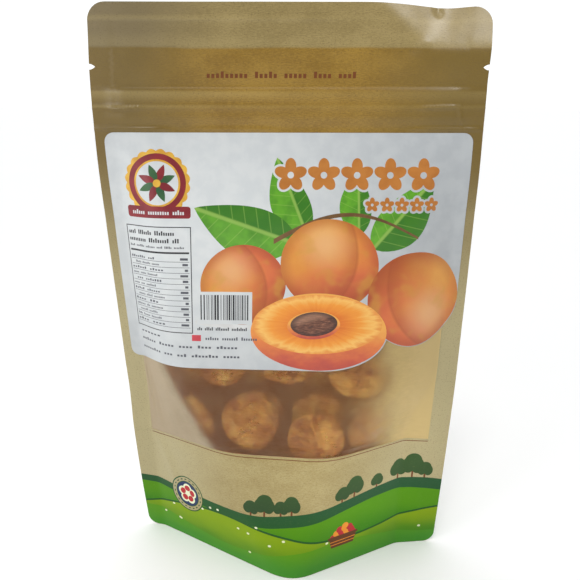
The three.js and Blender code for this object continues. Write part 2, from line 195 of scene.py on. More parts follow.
def build_sections():
    """For each panel, x, y and the turn of its cross-section, at every place of the flat sheet."""
    v = np.arange(0, HEIGHT + STEP / 2, STEP)[:, None]
    u = np.arange(-HALF, HALF + STEP / 2, STEP)[None, :]
    at = {name: np.radians(along_height(turns, v)) for name, turns in PROFILE_TURNS.items()}
    at.update({name: along_height(places, v) for name, places in PROFILE_PLACES.items()})
    arm_softness = along_height(ARM_SOFTNESS, v)
    turn = at["left_seam"]
    for before, after, place, softness in (
        ("left_seam", "left_arm", -INNER, SEAM_SOFTNESS),
        ("left_arm", "flat_turn", at["flat_left"], arm_softness),
        ("flat_turn", "right_arm", at["flat_right"], arm_softness),
        ("right_arm", "right_seam", at["right_arm_end"], SEAM_SOFTNESS),
    ):
        turn = turn + (at[after] - at[before]) * smooth((u - place) / softness + 0.5)
    start = np.zeros((2, len(v), 1))
    place = np.concatenate([start, walked((turn[:, 1:] + turn[:, :-1]) / 2)], axis=2)
    left, right = (round((inner + HALF) / STEP) for inner in (-INNER, INNER))
    place -= (place[:, :, [left]] + place[:, :, [right]]) / 2
    front = np.concatenate([place, turn[None]])

    # The back panel shares the seams, and is one arc between them.
    across, along = place[:, :, [right]] - place[:, :, [left]]
    between = slice(left + 1, right)
    share = (u[:, between] + INNER) / (2 * INNER)
    arc = np.arctan2(along, across) + arc_half_angle(np.hypot(across, along)) * (1 - 2 * share)
    back = front.copy()
    back[:2, :, between] = place[:, :, [left]] + walked(arc)
    back[2, :, between] = arc
    return {FRONT: front, BACK: back}


SECTIONS = build_sections()


def section_at(side, u, v):
    """x, y and the turn of a panel's cross-section, between the places of its table."""
    table = SECTIONS[side]
    row = np.clip(v / STEP, 0, table.shape[1] - 1.001)
    column = np.clip((u + HALF) / STEP, 0, table.shape[2] - 1.001)
    i = row.astype(int)
    j = column.astype(int)
    t = column - j
    low = table[:, i, j] * (1 - t) + table[:, i, j + 1] * t
    high = table[:, i + 1, j] * (1 - t) + table[:, i + 1, j + 1] * t
    return low * (1 - (row - i)) + high * (row - i)


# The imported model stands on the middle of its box, which this shift brings about.
strip_low, strip_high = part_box("zip_strip_front")
SHIFT = np.array([
    (strip_low.x + strip_high.x) / 2 / MM,
    strip_low.y / MM + ZIP_HALF_SPACE + ZIP_WEB,
    0,
])


def swelling(v):
    """0..1: the zip's swell over the height, which starts sharply at its upper edge."""
    shoulder = np.clip(1 - (ZIP_HEAD - v) / 2.8, 0, 1)
    return (1 - shoulder**2) * smooth((v - ZIP_FOOT + 2) / 5)


def bent_length(u, v):
    """How far each place lies beyond both folds of the bent corner."""
    (u0, v0), (u1, v1) = BEND_START, BEND_CORNER
    slant = ((u - u0) * (v0 - v1) - (v0 - v) * (u1 - u0)) / math.hypot(u1 - u0, v0 - v1)
    nearest = -BEND_SOFTNESS * np.logaddexp(-slant / BEND_SOFTNESS, -(v - v1) / BEND_SOFTNESS)
    return BEND_SOFTNESS * np.logaddexp(0, nearest / BEND_SOFTNESS)


def panel_point(side, u, v, outward):
    """The points `outward` from the middle of a panel, in millimetres, one row each."""
    u = np.asarray(u, float)
    v = np.asarray(v, float)
    x, y, turn = section_at(side, u, v)
    zip_swell = (ZIP_WEB + 2 * GAP) * swelling(v) * smooth((INNER + 5 - np.abs(u)) / 10)
    away = (GAP + SHEET) / 2 + outward + zip_swell
    length = bent_length(u, v)
    angle = math.radians(BEND_DEGREES)
    # The bent corner droops where it starts and lifts at its tip.
    sag = (0.6 * smooth((u - 36) / 22) - smooth((u - 60) / 16)) * length / TOP_SEAL
    return SHIFT + np.stack([
        x - side * np.sin(turn) * away + LEAN * smooth((v - LEAN_START) / (HEIGHT - LEAN_START)),
        y + side * np.cos(turn) * away + math.sin(angle) * length,
        v - (1 - math.cos(angle)) * length - sag,
    ], axis=-1)


def half_width(v):
    """Half the flat pouch's width at height v, with its rounded corners and its tear notches."""
    def arc(radius, inset):
        return radius - np.sqrt(np.maximum(radius**2 - np.maximum(inset, 0) ** 2, 0))

    low = arc(BOTTOM_RADIUS, BOTTOM_RADIUS - v)
    high = arc(TOP_RADIUS, TOP_RADIUS - (HEIGHT - v))
    inside = np.clip(1 - np.abs(v - NOTCH_HEIGHT) / NOTCH_HALF, 0, 1)
    return HALF - low - high - NOTCH_DEPTH * np.sqrt(inside)


# --- Fine relief -----------------------------------------------------------------------------

NOISE_SIDE = 32
NOISE_TABLES = {}


def lumps(points, scale, seed):
    """Smooth noise in -1..1, with lumps about `scale` wide, at points of two or three coordinates."""
    if seed not in NOISE_TABLES:
        NOISE_TABLES[seed] = np.random.default_rng(seed).uniform(-1, 1, (NOISE_SIDE,) * 3)
    places = np.zeros((len(points), 3))
    places[:, : points.shape[1]] = points / scale
    cell = np.floor(places).astype(int)
    t = places - cell
    t = t**3 * (t * (t * 6 - 15) + 10)
    total = np.zeros(len(points))
    for corner in np.ndindex(2, 2, 2):
        i, j, k = ((cell + corner) % NOISE_SIDE).T
        total += np.prod(np.where(corner, t, 1 - t), axis=1) * NOISE_TABLES[seed][i, j, k]
    return total


def waves(u, v, *rows):
    """Layers of soft lumps. Each row is a height, a turn, the lumps' width and a seed."""
    return sum(height * lumps(turned(u, v, degrees), width, seed)
               for height, degrees, width, seed in rows)


def creases(u, v, rows):
    """Soft folds that fade at both ends. Each row is a start, an end, a width and a height."""
    total = 0
    for (u0, v0), (u1, v1), width, height in rows:
        length = math.hypot(u1 - u0, v1 - v0)
        along = ((u - u0) * (u1 - u0) + (v - v0) * (v1 - v0)) / length**2
        across = ((u - u0) * (v1 - v0) - (v - v0) * (u1 - u0)) / length
        total = total + height * ridge(across, width) * smooth(along / 0.3) * smooth((1 - along) / 0.3)
    return total


def weld_share(u, v):
    """1 where the panels are welded to each other, at the side seams and the top band."""
    seam = smooth((np.abs(u) - INNER) / 0.9 + 0.5)
    return np.maximum(seam, smooth((v - BAND_BOTTOM) / 0.9 + 0.5))


def weld_relief(u, v):
    """The pressed welds, the fold of the foot, and the zip's lines, which run out through the
    side seams."""
    weld = weld_share(u, v)
    left = smooth((10 - u) / 40)
    zip_lines = (0.1 + 0.32 * left) * ridge(v - ZIP_RIDGE - 0.4, 0.8) + 0.2 * weld * swelling(v)
    band = 0.22 * ridge(v - BAND_LINE + 0.4, 0.7) * smooth((30 - u) / 25)
    fold = 0.14 * ridge(v - GUSSET + 0.2, 0.35) - 0.22 * ridge(v - GUSSET + 1.3, 0.45)
    return zip_lines - 0.12 * weld + band + fold


FRONT_CREASES = [
    # The bent top right corner: the point where its folds meet and the dent in the edge.
    ((46, 229), (57, 233), 1.8, 0.3),
    ((57.5, 253), (58.5, 242), 1.4, -0.8),
    # The crushed ends of the zip.
    ((-75, 206.4), (-58, 207.6), 0.7, 0.62),
    ((50, 207.2), (71, 208.2), 0.7, 0.62),
    ((69, 210), (71, 199), 0.8, 0.45),
    # Above the label's upper edge.
    ((-86, 199.2), (-46, 198.9), 0.8, 0.9),
    ((-44, 199.1), (-2, 198.9), 0.7, 0.55),
    ((46, 199.2), (84, 199.0), 0.7, 0.6),
    # Across the label, from where the zip's end pulls it.
    ((-72, 196), (-52, 168), 3.2, 0.3),
    ((-74, 170), (-60, 128), 4.0, -0.25),
    # Down the foot, where the panel turns in from the seams.
    ((-69, 60), (-57, 24), 2.6, 0.5),
    ((-60, 50), (-50, 18), 4.5, -0.35),
    ((66, 58), (60, 20), 3.0, 0.4),
    # Between the zip and the top band.
    ((-20, 230), (-26, 215), 3.5, 0.16),
    ((20, 232), (10, 214), 4.5, -0.16),
]
BACK_CREASES = [
    ((-74, 207), (-60, 206), 0.9, 0.4),
    ((56, 207), (72, 208), 0.9, 0.4),
    ((-70, 170), (-40, 196), 2.2, 0.5),
    ((70, 172), (46, 198), 2.0, 0.45),
    ((-8, 198), (14, 182), 2.4, -0.35),
    ((-68, 66), (-60, 34), 2.4, 0.55),
    ((67, 62), (60, 30), 2.4, 0.5),
    ((-40, 26), (34, 22), 3.0, 0.25),
    ((22, 160), (52, 146), 3.2, 0.4),
]
FILM_CREASES = [
    ((-69.5, 96), (-64, 58), 1.3, 0.55),
    ((-62, 92), (-52, 58), 4.0, 0.35),
    ((-29, 84), (-22, 96), 1.4, -0.2),
    ((30, 62), (62, 74), 3.2, 0.3),
    ((-50, 60), (60, 60), 0.8, 0.2),
]


def front_folds(u, v):
    """The front panel's creases and waves, which the back one shares where they are welded."""
    calm = 1 - 0.7 * smooth((np.abs(u) - INNER) / 4 + 0.5)
    return creases(u, v, FRONT_CREASES) + calm * waves(u, v, (0.24, 20, 31, 1), (0.09, 65, 11, 2))


def back_folds(u, v):
    """The back panel's own creases and the soft lumps that the fruit presses into it."""
    full = smooth((v - 18) / 25) * smooth((135 - v) / 25)
    own = creases(u, v, BACK_CREASES) + full * waves(u, v, (0.75, 35, 24, 11))
    own = own + waves(u, v, (0.3, 10, 34, 12), (0.1, 70, 10, 13))
    calm = 1 - smooth((np.abs(u) - INNER + 8) / 10)
    # Above the zip and in the side seams the panels lie against each other.
    together = np.maximum(weld_share(u, v), smooth((v - ZIP_HIGH) / 6))
    return own * calm * (1 - together) - front_folds(u, v) * together


Panel = namedtuple("Panel", "node side folds seed")
FRONT_PANEL = Panel("front_panel", FRONT, front_folds, 3)
BACK_PANEL = Panel("back_panel", BACK, back_folds, 14)


def panel_relief(panel, u, v):
    """How far a panel's outer face stands out: its welds, its folds and the paper's unevenness."""
    return weld_relief(u, v) + panel.folds(u, v) + waves(u, v, (0.018, 40, 3.1, panel.seed))


def label_low(u):
    """The height of the label's lower edge, which follows the two fruits printed on it."""
    edges = []
    for cut in (OVAL_CUT, ROUND_CUT):
        share = np.clip((u - cut.u) / cut.across, -1, 1)
        edges.append(cut.v - cut.up * np.sqrt(1 - share**2))
    lower = np.where(u < OVAL_CUT.u + OVAL_CUT.across, np.minimum(*edges), edges[1])
    return np.where(u < OVAL_CUT.u, LABEL_LOW, lower)


def film_relief(u, v):
    """The film is drawn over the fruit and under the label, with small wrinkles near its sides."""
    loose = smooth((u - 40) / 20) * smooth((100 - v) / 18)
    wrinkles = np.sin(2 * math.pi * (v + 0.06 * u) / 2.6 + 2 * waves(u, v, (1, 0, 9, 23)))
    total = 0.16 + waves(u, v, (0.16, 25, 14, 21), (0.07, 50, 5, 22)) + loose * 0.06 * wrinkles
    total = total + creases(u, v, FILM_CREASES) + 0.4 * ridge(np.hypot(u - 50, v - 66), 3.0)
    total = total - 0.25 * ridge(v - GUSSET, 0.8)
    edge = smooth((v - GUSSET) / 2.5) * smooth((INNER - np.abs(u)) / 3)
    covered = smooth((v - label_low(u) + 4) / 4)
    return total * edge * (1 - covered) + 0.8 * panel_relief(FRONT_PANEL, u, v) * covered


# --- Sheets cut along their printed shapes ---------------------------------------------------

# The baked picture: where a sheet's outer face starts and its size, and where the inner face
# starts beside it and its share of the outer one's width.
BAKE_START = (0.005, 0.01)
BAKE_SIZE = (0.83, 0.98)
BAKE_INSIDE = 0.845
BAKE_NARROW = 0.18

# A printed shape: its outline, its material, and the frame that its shading is drawn in.
Shape = namedtuple("Shape", "polygon material centre size degrees")


def inside_polygon(points, polygon):
    """Which points lie inside a closed polygon, by the even-odd rule."""
    low, high = polygon.min(axis=0), polygon.max(axis=0)
    near = np.nonzero(((points >= low) & (points <= high)).all(axis=1))[0]
    x, y = points[near].T
    inside = np.zeros(len(near), bool)
    for (x0, y0), (x1, y1) in zip(polygon, np.roll(polygon, -1, axis=0)):
        if y0 != y1:
            crosses = (y0 > y) != (y1 > y)
            inside ^= crosses & (x < (x1 - x0) * (y - y0) / (y1 - y0) + x0)
    result = np.zeros(len(points), bool)
    result[near[inside]] = True
    return result


def divided(polygon, spacing):
    """The polygon with points added so that no side is longer than spacing."""
    points = []
    for start, end in zip(polygon, np.roll(polygon, -1, axis=0)):
        steps = max(1, math.ceil(np.linalg.norm(end - start) / spacing))
        points.extend(start + (end - start) * i / steps for i in range(steps))
    return points


def triangulate(outline, hole, shapes, spacing):
    """The flat sheet's points, triangles and, for each triangle, the topmost shape's index or -1."""
    def on_sheet(points):
        inside = inside_polygon(points, outline)
        return inside if hole is None else inside & ~inside_polygon(points, hole)

    # Rows of points in a pattern of equal triangles, and closer ones along the pressed lines.
    low, high = outline.min(axis=0), outline.max(axis=0)
    heights = np.arange(low[1] + spacing / 2, high[1], spacing * 0.866)
    rows = [(v, 0.25 + 0.5 * (i % 2)) for i, v in enumerate(heights)]
    rows += [(v, 0.5) for v in LINE_ROWS]
    grid = np.array([
        (u, v) for v, first in rows for u in np.arange(low[0] + spacing * first, high[0], spacing)
    ])
    points = [Vector(point) for point in grid[on_sheet(grid)]]
    edges = []
    for loop in [outline] + ([] if hole is None else [hole]) + [shape.polygon for shape in shapes]:
        loop = divided(loop, spacing)
        first = len(points)
        points.extend(Vector(point) for point in loop)
        edges.extend((first + i, first + (i + 1) % len(loop)) for i in range(len(loop)))
    found, _, triangles, *_ = delaunay_2d_cdt(points, edges, [], 0, 1e-4, False)
    flat = np.array([tuple(point) for point in found])
    triangles = np.array(triangles)
    triangles = triangles[on_sheet(flat[triangles].mean(axis=1))]
    middles = flat[triangles].mean(axis=1)
    topmost = np.full(len(triangles), -1)
    for index, shape in enumerate(shapes):
        topmost[inside_polygon(middles, shape.polygon)] = index
    used, triangles = np.unique(triangles, return_inverse=True)
    flat = flat[used]
    triangles = triangles.reshape(-1, 3)
    a, b, c = (flat[triangles[:, k]] for k in range(3))
    (x1, y1), (x2, y2) = (b - a).T, (c - a).T
    clockwise = x1 * y2 < y1 * x2
    triangles[clockwise] = triangles[clockwise][:, ::-1]
    return flat, triangles, topmost


def surface_normals(side, surface, u, v, reach=0.5):
    across = surface(u + reach, v) - surface(u - reach, v)
    up = surface(u, v + reach) - surface(u, v - reach)
    normal = -side * np.cross(across, up)
    return normal / np.linalg.norm(normal, axis=1)[:, None]


def border_edges(triangles):
    """The directed edges that only one triangle has."""
    edges = [(row[k], row[(k + 1) % 3]) for k in range(3) for row in triangles.tolist()]
    have = set(edges)
    return [(a, b) for a, b in edges if (b, a) not in have]


def make_piece(name, node, points, faces, materials, slots, smooth_faces=None):
    """The piece that replaces a CAD node, from points in millimetres. slots are the faces'
    materials, and the faces after the first `smooth_faces` are flat."""
    mesh = bpy.data.meshes.new(name)
    mesh.from_pydata((points * MM).tolist(), [], faces)
    for material in materials:
        mesh.materials.append(material)
    mesh.polygons.foreach_set("material_index", slots)
    smooth_faces = len(faces) if smooth_faces is None else smooth_faces
    mesh.polygons.foreach_set("use_smooth", [i < smooth_faces for i in range(len(faces))])
    piece = bpy.data.objects.new(name, mesh)
    bpy.context.scene.collection.objects.link(piece)
    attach(piece, "root")
    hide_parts(node)
    return piece


def corner_points(mesh):
    """The index of the point at each corner of each face."""
    points = np.zeros(len(mesh.loops), int)
    mesh.loops.foreach_get("vertex_index", points)
    return points


def add_map(mesh, name, places):
    mesh.uv_layers.new(name=name).data.foreach_set("uv", places.ravel())


def add_values(mesh, name, values):
    mesh.attributes.new(name, "FLOAT", "POINT").data.foreach_set("value", values)


def build_sheet(name, node, side, outer, inner, materials, outline, spacing, hole=None, shapes=()):
    """A closed thin sheet between the surfaces `outer` and `inner`, printed on its outer face.

    materials are those of the unprinted outer face, the inner face and the cut edge. The flat
    places of the sheet's points are given back with the piece.
    """
    flat, triangles, topmost = triangulate(outline, hole, shapes, spacing)
    u, v = flat.T
    count = len(flat)
    front = triangles if side == FRONT else triangles[:, ::-1]
    walls = [(b, a, a + count, b + count) for a, b in border_edges(front)]
    faces = front.tolist() + (front[:, ::-1] + count).tolist() + walls
    wanted = [*materials, *(shape.material for shape in shapes)]
    palette = list(dict.fromkeys(wanted))
    slot_of = [palette.index(material) for material in wanted]
    slots = [slot_of[3 + i] if i >= 0 else slot_of[0] for i in topmost]
    slots += [slot_of[1]] * len(front) + [slot_of[2]] * len(walls)
    points = np.concatenate([outer(u, v), inner(u, v)])
    piece = make_piece(name, node, points, faces, palette, slots)
    mesh = piece.data

    # Each corner's place on the flat sheet, in its printed shape, and in the baked picture, where
    # the two faces lie side by side.
    corners = corner_points(mesh)
    place = flat[corners % count]
    art = np.zeros_like(place)
    for index, shape in enumerate(shapes):
        printed = np.nonzero(np.repeat(topmost == index, 3))[0]
        art[printed] = turned(*(place[printed] - shape.centre).T, -shape.degrees) / shape.size
    outside = slice(0, 3 * len(front))
    inside = slice(3 * len(front), 6 * len(front))
    baked = (place - flat.min(axis=0)) / np.ptp(flat, axis=0) * BAKE_SIZE + BAKE_START
    baked[inside, 0] = BAKE_INSIDE + BAKE_NARROW * baked[inside, 0]
    for map_name, places in (("sheet", place / 100), ("art", art), ("OFBake", baked)):
        add_map(mesh, map_name, places)

    surface = surface_normals(side, outer, u, v)
    normals = np.zeros((len(corners), 3))
    normals[outside] = surface[corners[outside]]
    normals[inside] = -surface[corners[inside] - count]
    wall_normals = np.array([face.normal for face in mesh.polygons[2 * len(front):]])
    normals[inside.stop:] = np.repeat(wall_normals, 4, axis=0)
    mesh.normals_split_custom_set(normals)
    return piece, flat


# --- Outlines ------------------------------------------------------------------------------


def ellipse(centre, across, up, degrees=0, count=64):
    angle = np.arange(count) / count * 2 * math.pi
    return turned(across * np.cos(angle), up * np.sin(angle), degrees) + centre


def rectangle(u0, v0, u1, v1):
    return np.array([(u0, v0), (u1, v0), (u1, v1), (u0, v1)])


def around(middle, reach, degrees):
    """The place at a distance and an angle from the middle."""
    return turned(reach, 0, degrees) + middle


CORNER_POINTS = 7
LEAF_POINTS = 22


def rounded(u0, v0, u1, v1, radius):
    """A rectangle with round corners, from its upper right one anticlockwise."""
    middles = [(u1 - radius, v1 - radius), (u0 + radius, v1 - radius),
               (u0 + radius, v0 + radius), (u1 - radius, v0 + radius)]
    return np.array([
        around(middle, radius, 90 * (corner + i / (CORNER_POINTS - 1)))
        for corner, middle in enumerate(middles) for i in range(CORNER_POINTS)
    ])


def leaf_outline(length, width, bend):
    """A pointed leaf from (0, 0) to (length, 0), widest before its middle, and bent sideways."""
    t = np.linspace(0, 1, LEAF_POINTS)
    half = width / 2 * np.sin(math.pi * t**0.8) ** 0.85 * (1 - 0.12 * t)
    middle = bend * np.sin(math.pi * t)
    upper = np.stack([length * t, middle + half], axis=1)
    lower = np.stack([length * t, middle - half], axis=1)[::-1]
    return np.concatenate([upper[:-1], lower[:-1]])


def pouch_outline():
    quarter = np.linspace(0, 1, 9) * math.pi / 2
    heights = np.concatenate([
        BOTTOM_RADIUS * (1 - np.cos(quarter)),
        np.arange(8, NOTCH_HEIGHT - NOTCH_HALF, 4),
        NOTCH_HEIGHT + NOTCH_HALF * np.sin(np.linspace(-1, 1, 11) * math.pi / 2),
        [BAND_BOTTOM],
        HEIGHT - TOP_RADIUS * (1 - np.sin(quarter)),
    ])
    right = np.stack([half_width(heights), heights], axis=1)
    return np.concatenate([right, right[::-1] * [-1, 1]])


def label_outline():
    """Three round corners, and the cut that follows the two printed fruits."""
    corners = rounded(-LABEL_HALF, LABEL_LOW, LABEL_HALF, LABEL_TOP, LABEL_RADIUS)[: 3 * CORNER_POINTS]
    u = np.linspace(OVAL_CUT.u, LABEL_HALF, 90)
    return np.concatenate([corners, np.stack([u, label_low(u)], axis=1)])


# --- Materials -----------------------------------------------------------------------------


def rgb(*display):
    """A colour given in 0..255 display values, as the shaders take it."""
    share = [value / 255 for value in display]
    return (*(s / 12.92 if s <= 0.04045 else ((s + 0.055) / 1.055) ** 2.4 for s in share), 1)


class Value:
    """What a node gives. It adds, subtracts and multiplies like a number, in nodes of its own."""

    def __init__(self, nodes, socket):
        self.nodes = nodes
        self.socket = socket

    def __add__(self, other):
        return self.nodes.math("ADD", self, other)

    def __sub__(self, other):
        return self.nodes.math("SUBTRACT", self, other)

    def __mul__(self, other):
        return self.nodes.math("MULTIPLY", self, other)

    def __abs__(self):
        return self.nodes.math("ABSOLUTE", self)

    def span(self, low, high, to_low=0.0, to_high=1.0):
        """The value from low..high, as to_low..to_high, softly and within them."""
        values = {0: self, 1: low, 2: high, 3: to_low, 4: to_high}
        return self.nodes.node("MapRange", values, interpolation_type="SMOOTHSTEP")


class Nodes:
    """The nodes of a material or of the world. They take numbers, colours and other nodes."""

    def __init__(self, tree):
        self.tree = tree

    def give(self, socket, value):
        if isinstance(value, Value):
            self.tree.links.new(value.socket, socket)
        else:
            socket.default_value = value

    def node(self, kind, values=(), output=0, **settings):
        made = self.tree.nodes.new("ShaderNode" + kind)
        for key, value in settings.items():
            setattr(made, key, value)
        for key, value in dict(values).items():
            self.give(made.inputs[key], value)
        return Value(self, made.outputs[output])

    def math(self, operation, *values):
        return self.node("Math", dict(enumerate(values)), operation=operation)

    def split(self, vector):
        """The first two coordinates of a place."""
        return [self.node("SeparateXYZ", {0: vector}, axis) for axis in (0, 1)]


class Paint(Nodes):
    """One material, whose shader takes the given values."""

    def __init__(self, name, **values):
        self.material = bpy.data.materials.new(name)
        self.material.use_nodes = True
        super().__init__(self.material.node_tree)
        self.set(**values)

    def set(self, **values):
        shader = self.tree.nodes["Principled BSDF"]
        for key, value in values.items():
            self.give(shader.inputs[key.replace("_", " ")], value)
        return self.material

    def place(self, uv_map, across=1, up=1):
        """The place in a map, stretched. The "sheet" map is in decimetres."""
        place = self.node("UVMap", uv_map=uv_map)
        return self.node("Mapping", {"Vector": place, "Scale": (across, up, 1)})

    def distance(self, place, centre=(0, 0, 0)):
        return self.node("VectorMath", {0: place, 1: centre}, 1, operation="DISTANCE")

    def attribute(self, name):
        """The number that a piece's points hold under a name."""
        return self.node("Attribute", output=2, attribute_name=name)

    def noise(self, place, scale, detail=3, rough=0.55):
        values = {"Vector": place, "Scale": scale, "Detail": detail, "Roughness": rough}
        return self.node("TexNoise", values)

    def fibres(self, across, up, detail=3, rough=0.55):
        """Noise on the flat sheet. `across` and `up` are its lumps to the decimetre."""
        return self.noise(self.place("sheet", across, up), 1.0, detail, rough)

    def mix(self, share, first, second):
        return self.node("Mix", {0: share, 6: first, 7: second}, 2, data_type="RGBA")

    def layers(self, colour, *layers):
        """The colour with others laid over it, each by its share."""
        for share, other in layers:
            colour = self.mix(share, colour, other)
        return colour

    def ramp(self, share, *stops):
        made = self.node("ValToRGB", {0: share})
        elements = made.socket.node.color_ramp.elements
        while len(elements) < len(stops):
            elements.new(0.5)
        for element, (position, colour) in zip(elements, stops):
            element.position = position
            element.color = colour
        return made

    def bump(self, height, distance, strength):
        return self.node("Bump", {"Height": height, "Distance": distance, "Strength": strength})


WHITE = (1, 1, 1, 1)
FLECK = (0.1, 0.06, 0.02, 1)
# The colour of the painted highlights.
LINE_HIGHLIGHT_TINT = (0.6, 0.48, 0.2, 1)
WORN_INK = (0.45, 0.36, 0.12, 1)
# Painted highlights along the pressed lines of the zip and the top band: foot, crest, head (in
# decimetres) and strength.
PAINTED_LINE_HIGHLIGHTS = [
    (2.085, 2.133, 2.145, 0.2),
    (2.066, 2.079, 2.09, 0.14),
    (2.298, 2.318, 2.37, 0.09),
    (2.395, 2.412, 2.43, 0.14),
]


def paper_grain(paint, strength=1.0):
    """The fine cross-fibres of the paper under its film, as a bump for the shader."""
    height = paint.fibres(60, 260, 4, 0.6) + paint.fibres(130, 130, 3, 0.6) * 0.6
    return paint.bump(height, 0.00006, 0.55 * strength)


def kraft_fibres(paint):
    """0..1: the paper's mottling and its faint cross-fibres."""
    share = paint.fibres(5, 9, 5, 0.6) * 0.4 + paint.fibres(60, 240, 4, 0.75) * 0.6
    return share.span(0.38, 0.62)


def flecked(paint, colour):
    return paint.mix(paint.fibres(150, 240, 2, 0.5).span(0.56, 0.72, 0.0, 0.5), colour, FLECK)


def make_kraft():
    """Pale low down under painted sheen, ochre towards the top under painted shade; the welded band is
    greyer.
    """
    paint = Paint("kraft_outside", Roughness=0.45, Specular_IOR_Level=0.4, Coat_Weight=0.35,
                  Coat_Roughness=0.24)
    across, up = paint.split(paint.place("sheet"))
    drift = paint.fibres(2, 3) * 0.36 - 0.18
    height = (up + drift).span(1.15, 1.95)
    in_band = (up + drift * 0.06).span(2.297, 2.309)
    fibres = kraft_fibres(paint)
    # Painted light: the paler colour low down stands in for sheen, the deeper ochre high up for shade.
    low = paint.mix(fibres, (0.43, 0.345, 0.148, 1), (0.33, 0.246, 0.085, 1))
    high = paint.mix(fibres, (0.325, 0.19, 0.022, 1), (0.215, 0.116, 0.006, 1))
    band = paint.mix(fibres, (0.335, 0.25, 0.094, 1), (0.24, 0.174, 0.057, 1))
    # Painted sheen and shade at the sides: paler and greyer low down, darker high up.
    side = paint.mix(height, (0.44, 0.375, 0.195, 1), (0.152, 0.097, 0.014, 1))
    band_side_painted_shade = (0.172, 0.128, 0.055, 1)
    # Painted shade greys the welded band's sides, the right one less than the left one.
    sides = abs(across + drift * 0.5).span(0.2, 0.68, 0.0, 0.9)
    sides = sides * paint.mix(in_band, WHITE, across.span(-0.3, 0.3, 1.0, 0.25))
    colour = paint.layers(low, (height, high), (in_band, band))
    colour = paint.mix(sides, colour, paint.mix(in_band, side, band_side_painted_shade))
    # Painted highlights: pale lines along the pressed lines, stronger towards the left.
    for foot, crest, head, strength in PAINTED_LINE_HIGHLIGHTS:
        line_highlight = up.span(foot, crest) * up.span(crest, head, 1, 0)
        line_highlight = line_highlight * across.span(-0.35, 0.25, strength, 0.5 * strength)
        colour = paint.mix(line_highlight, colour, LINE_HIGHLIGHT_TINT)
    return paint.set(Base_Color=flecked(paint, colour), Normal=paper_grain(paint))


def make_kraft_inside():
    paint = Paint("kraft_inside", Roughness=0.5, Coat_Weight=0.1, Coat_Roughness=0.35)
    colour = paint.mix(kraft_fibres(paint), rgb(200, 176, 128), rgb(180, 152, 104))
    return paint.set(Base_Color=flecked(paint, colour), Normal=paper_grain(paint, 0.5))


def make_cut_edge():
    paint = Paint("paper_edge", Roughness=0.75)
    return paint.set(Base_Color=paint.mix(paint.fibres(500, 500), rgb(176, 150, 104), rgb(206, 188, 150)))


def make_print(name, low_ink, high_ink, low, high):
    """Ink on kraft, which passes from one colour at height `low` to another at `high`."""
    paint = Paint(name, Roughness=0.42, Coat_Weight=0.05, Coat_Roughness=0.3, Specular_IOR_Level=0.18)
    up = paint.split(paint.place("sheet"))[1] + paint.fibres(3, 7, 2) * 0.1 - 0.05
    ink = paint.mix(up.span(low / 100, high / 100), rgb(*low_ink), rgb(*high_ink))
    worn = paint.fibres(60, 240, 4, 0.7).span(0.55, 0.8, 0.0, 0.15)
    return paint.set(Base_Color=paint.mix(worn, ink, WORN_INK), Normal=paper_grain(paint, 0.7))


def label_material(name, colour, *settings):
    """Coated label stock in the colour that a function gives it."""
    paint = Paint(name, Roughness=0.34, Coat_Weight=0.35, Coat_Roughness=0.16, Specular_IOR_Level=0.5)
    grain = paint.bump(paint.fibres(90, 90, 3, 0.5), 0.00002, 0.5)
    return paint.set(Base_Color=colour(paint, *settings), Normal=grain)


def clouded(paint, first, second):
    """Two close colours in soft clouds."""
    return paint.mix(paint.fibres(14, 14).span(0.35, 0.65), rgb(*first), rgb(*second))


def stock_with_painted_shade(paint):
    """Pearly white, with a painted highlight at the label's middle left and painted shade, greyer away
    from it.
    """
    # Painted shade: greyer with distance from the painted highlight at the middle left.
    away = paint.distance(paint.place("sheet"), (-0.33, 1.55, 0)).span(0.05, 1.05)
    white = clouded(paint, (218, 221, 221), (211, 215, 216))
    return paint.mix(away, white, clouded(paint, (180, 184, 186), (173, 177, 180)))


def ripe_skin(paint, turn):
    """A ripe apricot's skin: yellow to orange, blushed red on one side, with its suture."""
    place = paint.place("art")
    s, t = paint.split(place)
    warmth = s * (0.24 * math.cos(turn)) + t * (0.30 * math.sin(turn)) + 0.25
    skin = paint.ramp(warmth + paint.noise(place, 1.3, 3, 0.5) * 0.5,
                      (0.12, rgb(230, 172, 70)), (0.4, rgb(220, 140, 52)),
                      (0.64, rgb(214, 108, 56)), (0.9, rgb(196, 78, 56)))
    # The suture is a bowed line with a shaded side.
    bow = s + t * t * 0.34 - 0.52
    groove = abs(bow).span(0.0, 0.07, 0.45, 0.0)
    lee = bow.span(-0.35, 0.0) * bow.span(0.0, 0.05, 0.35, 0.0)
    speckle = paint.noise(place, 26, 2, 0.6).span(0.6, 0.75, 0.0, 0.25)
    # Light falls from above: a bloom near the top, shade towards the lower rim.
    bloom = paint.distance(place, (-0.2, 0.42, 0)).span(0.0, 0.75, 0.5, 0.0)
    rim = paint.distance(place).span(0.7, 1.02, 0.0, 0.5)
    shade = (t - s * 0.4).span(-1.0, -0.05, 0.7, 0.0)
    unripe = paint.noise(place, 1.7, 2, 0.5).span(0.52, 0.72, 0.0, 0.5)
    return paint.layers(
        skin,
        (speckle, rgb(196, 80, 36)),
        (paint.math("MAXIMUM", groove, lee), rgb(150, 62, 22)),
        (bloom, rgb(240, 196, 144)),
        (rim, rgb(160, 64, 20)),
        (shade, rgb(158, 62, 8)),
        (unripe, rgb(204, 152, 48)),
    )


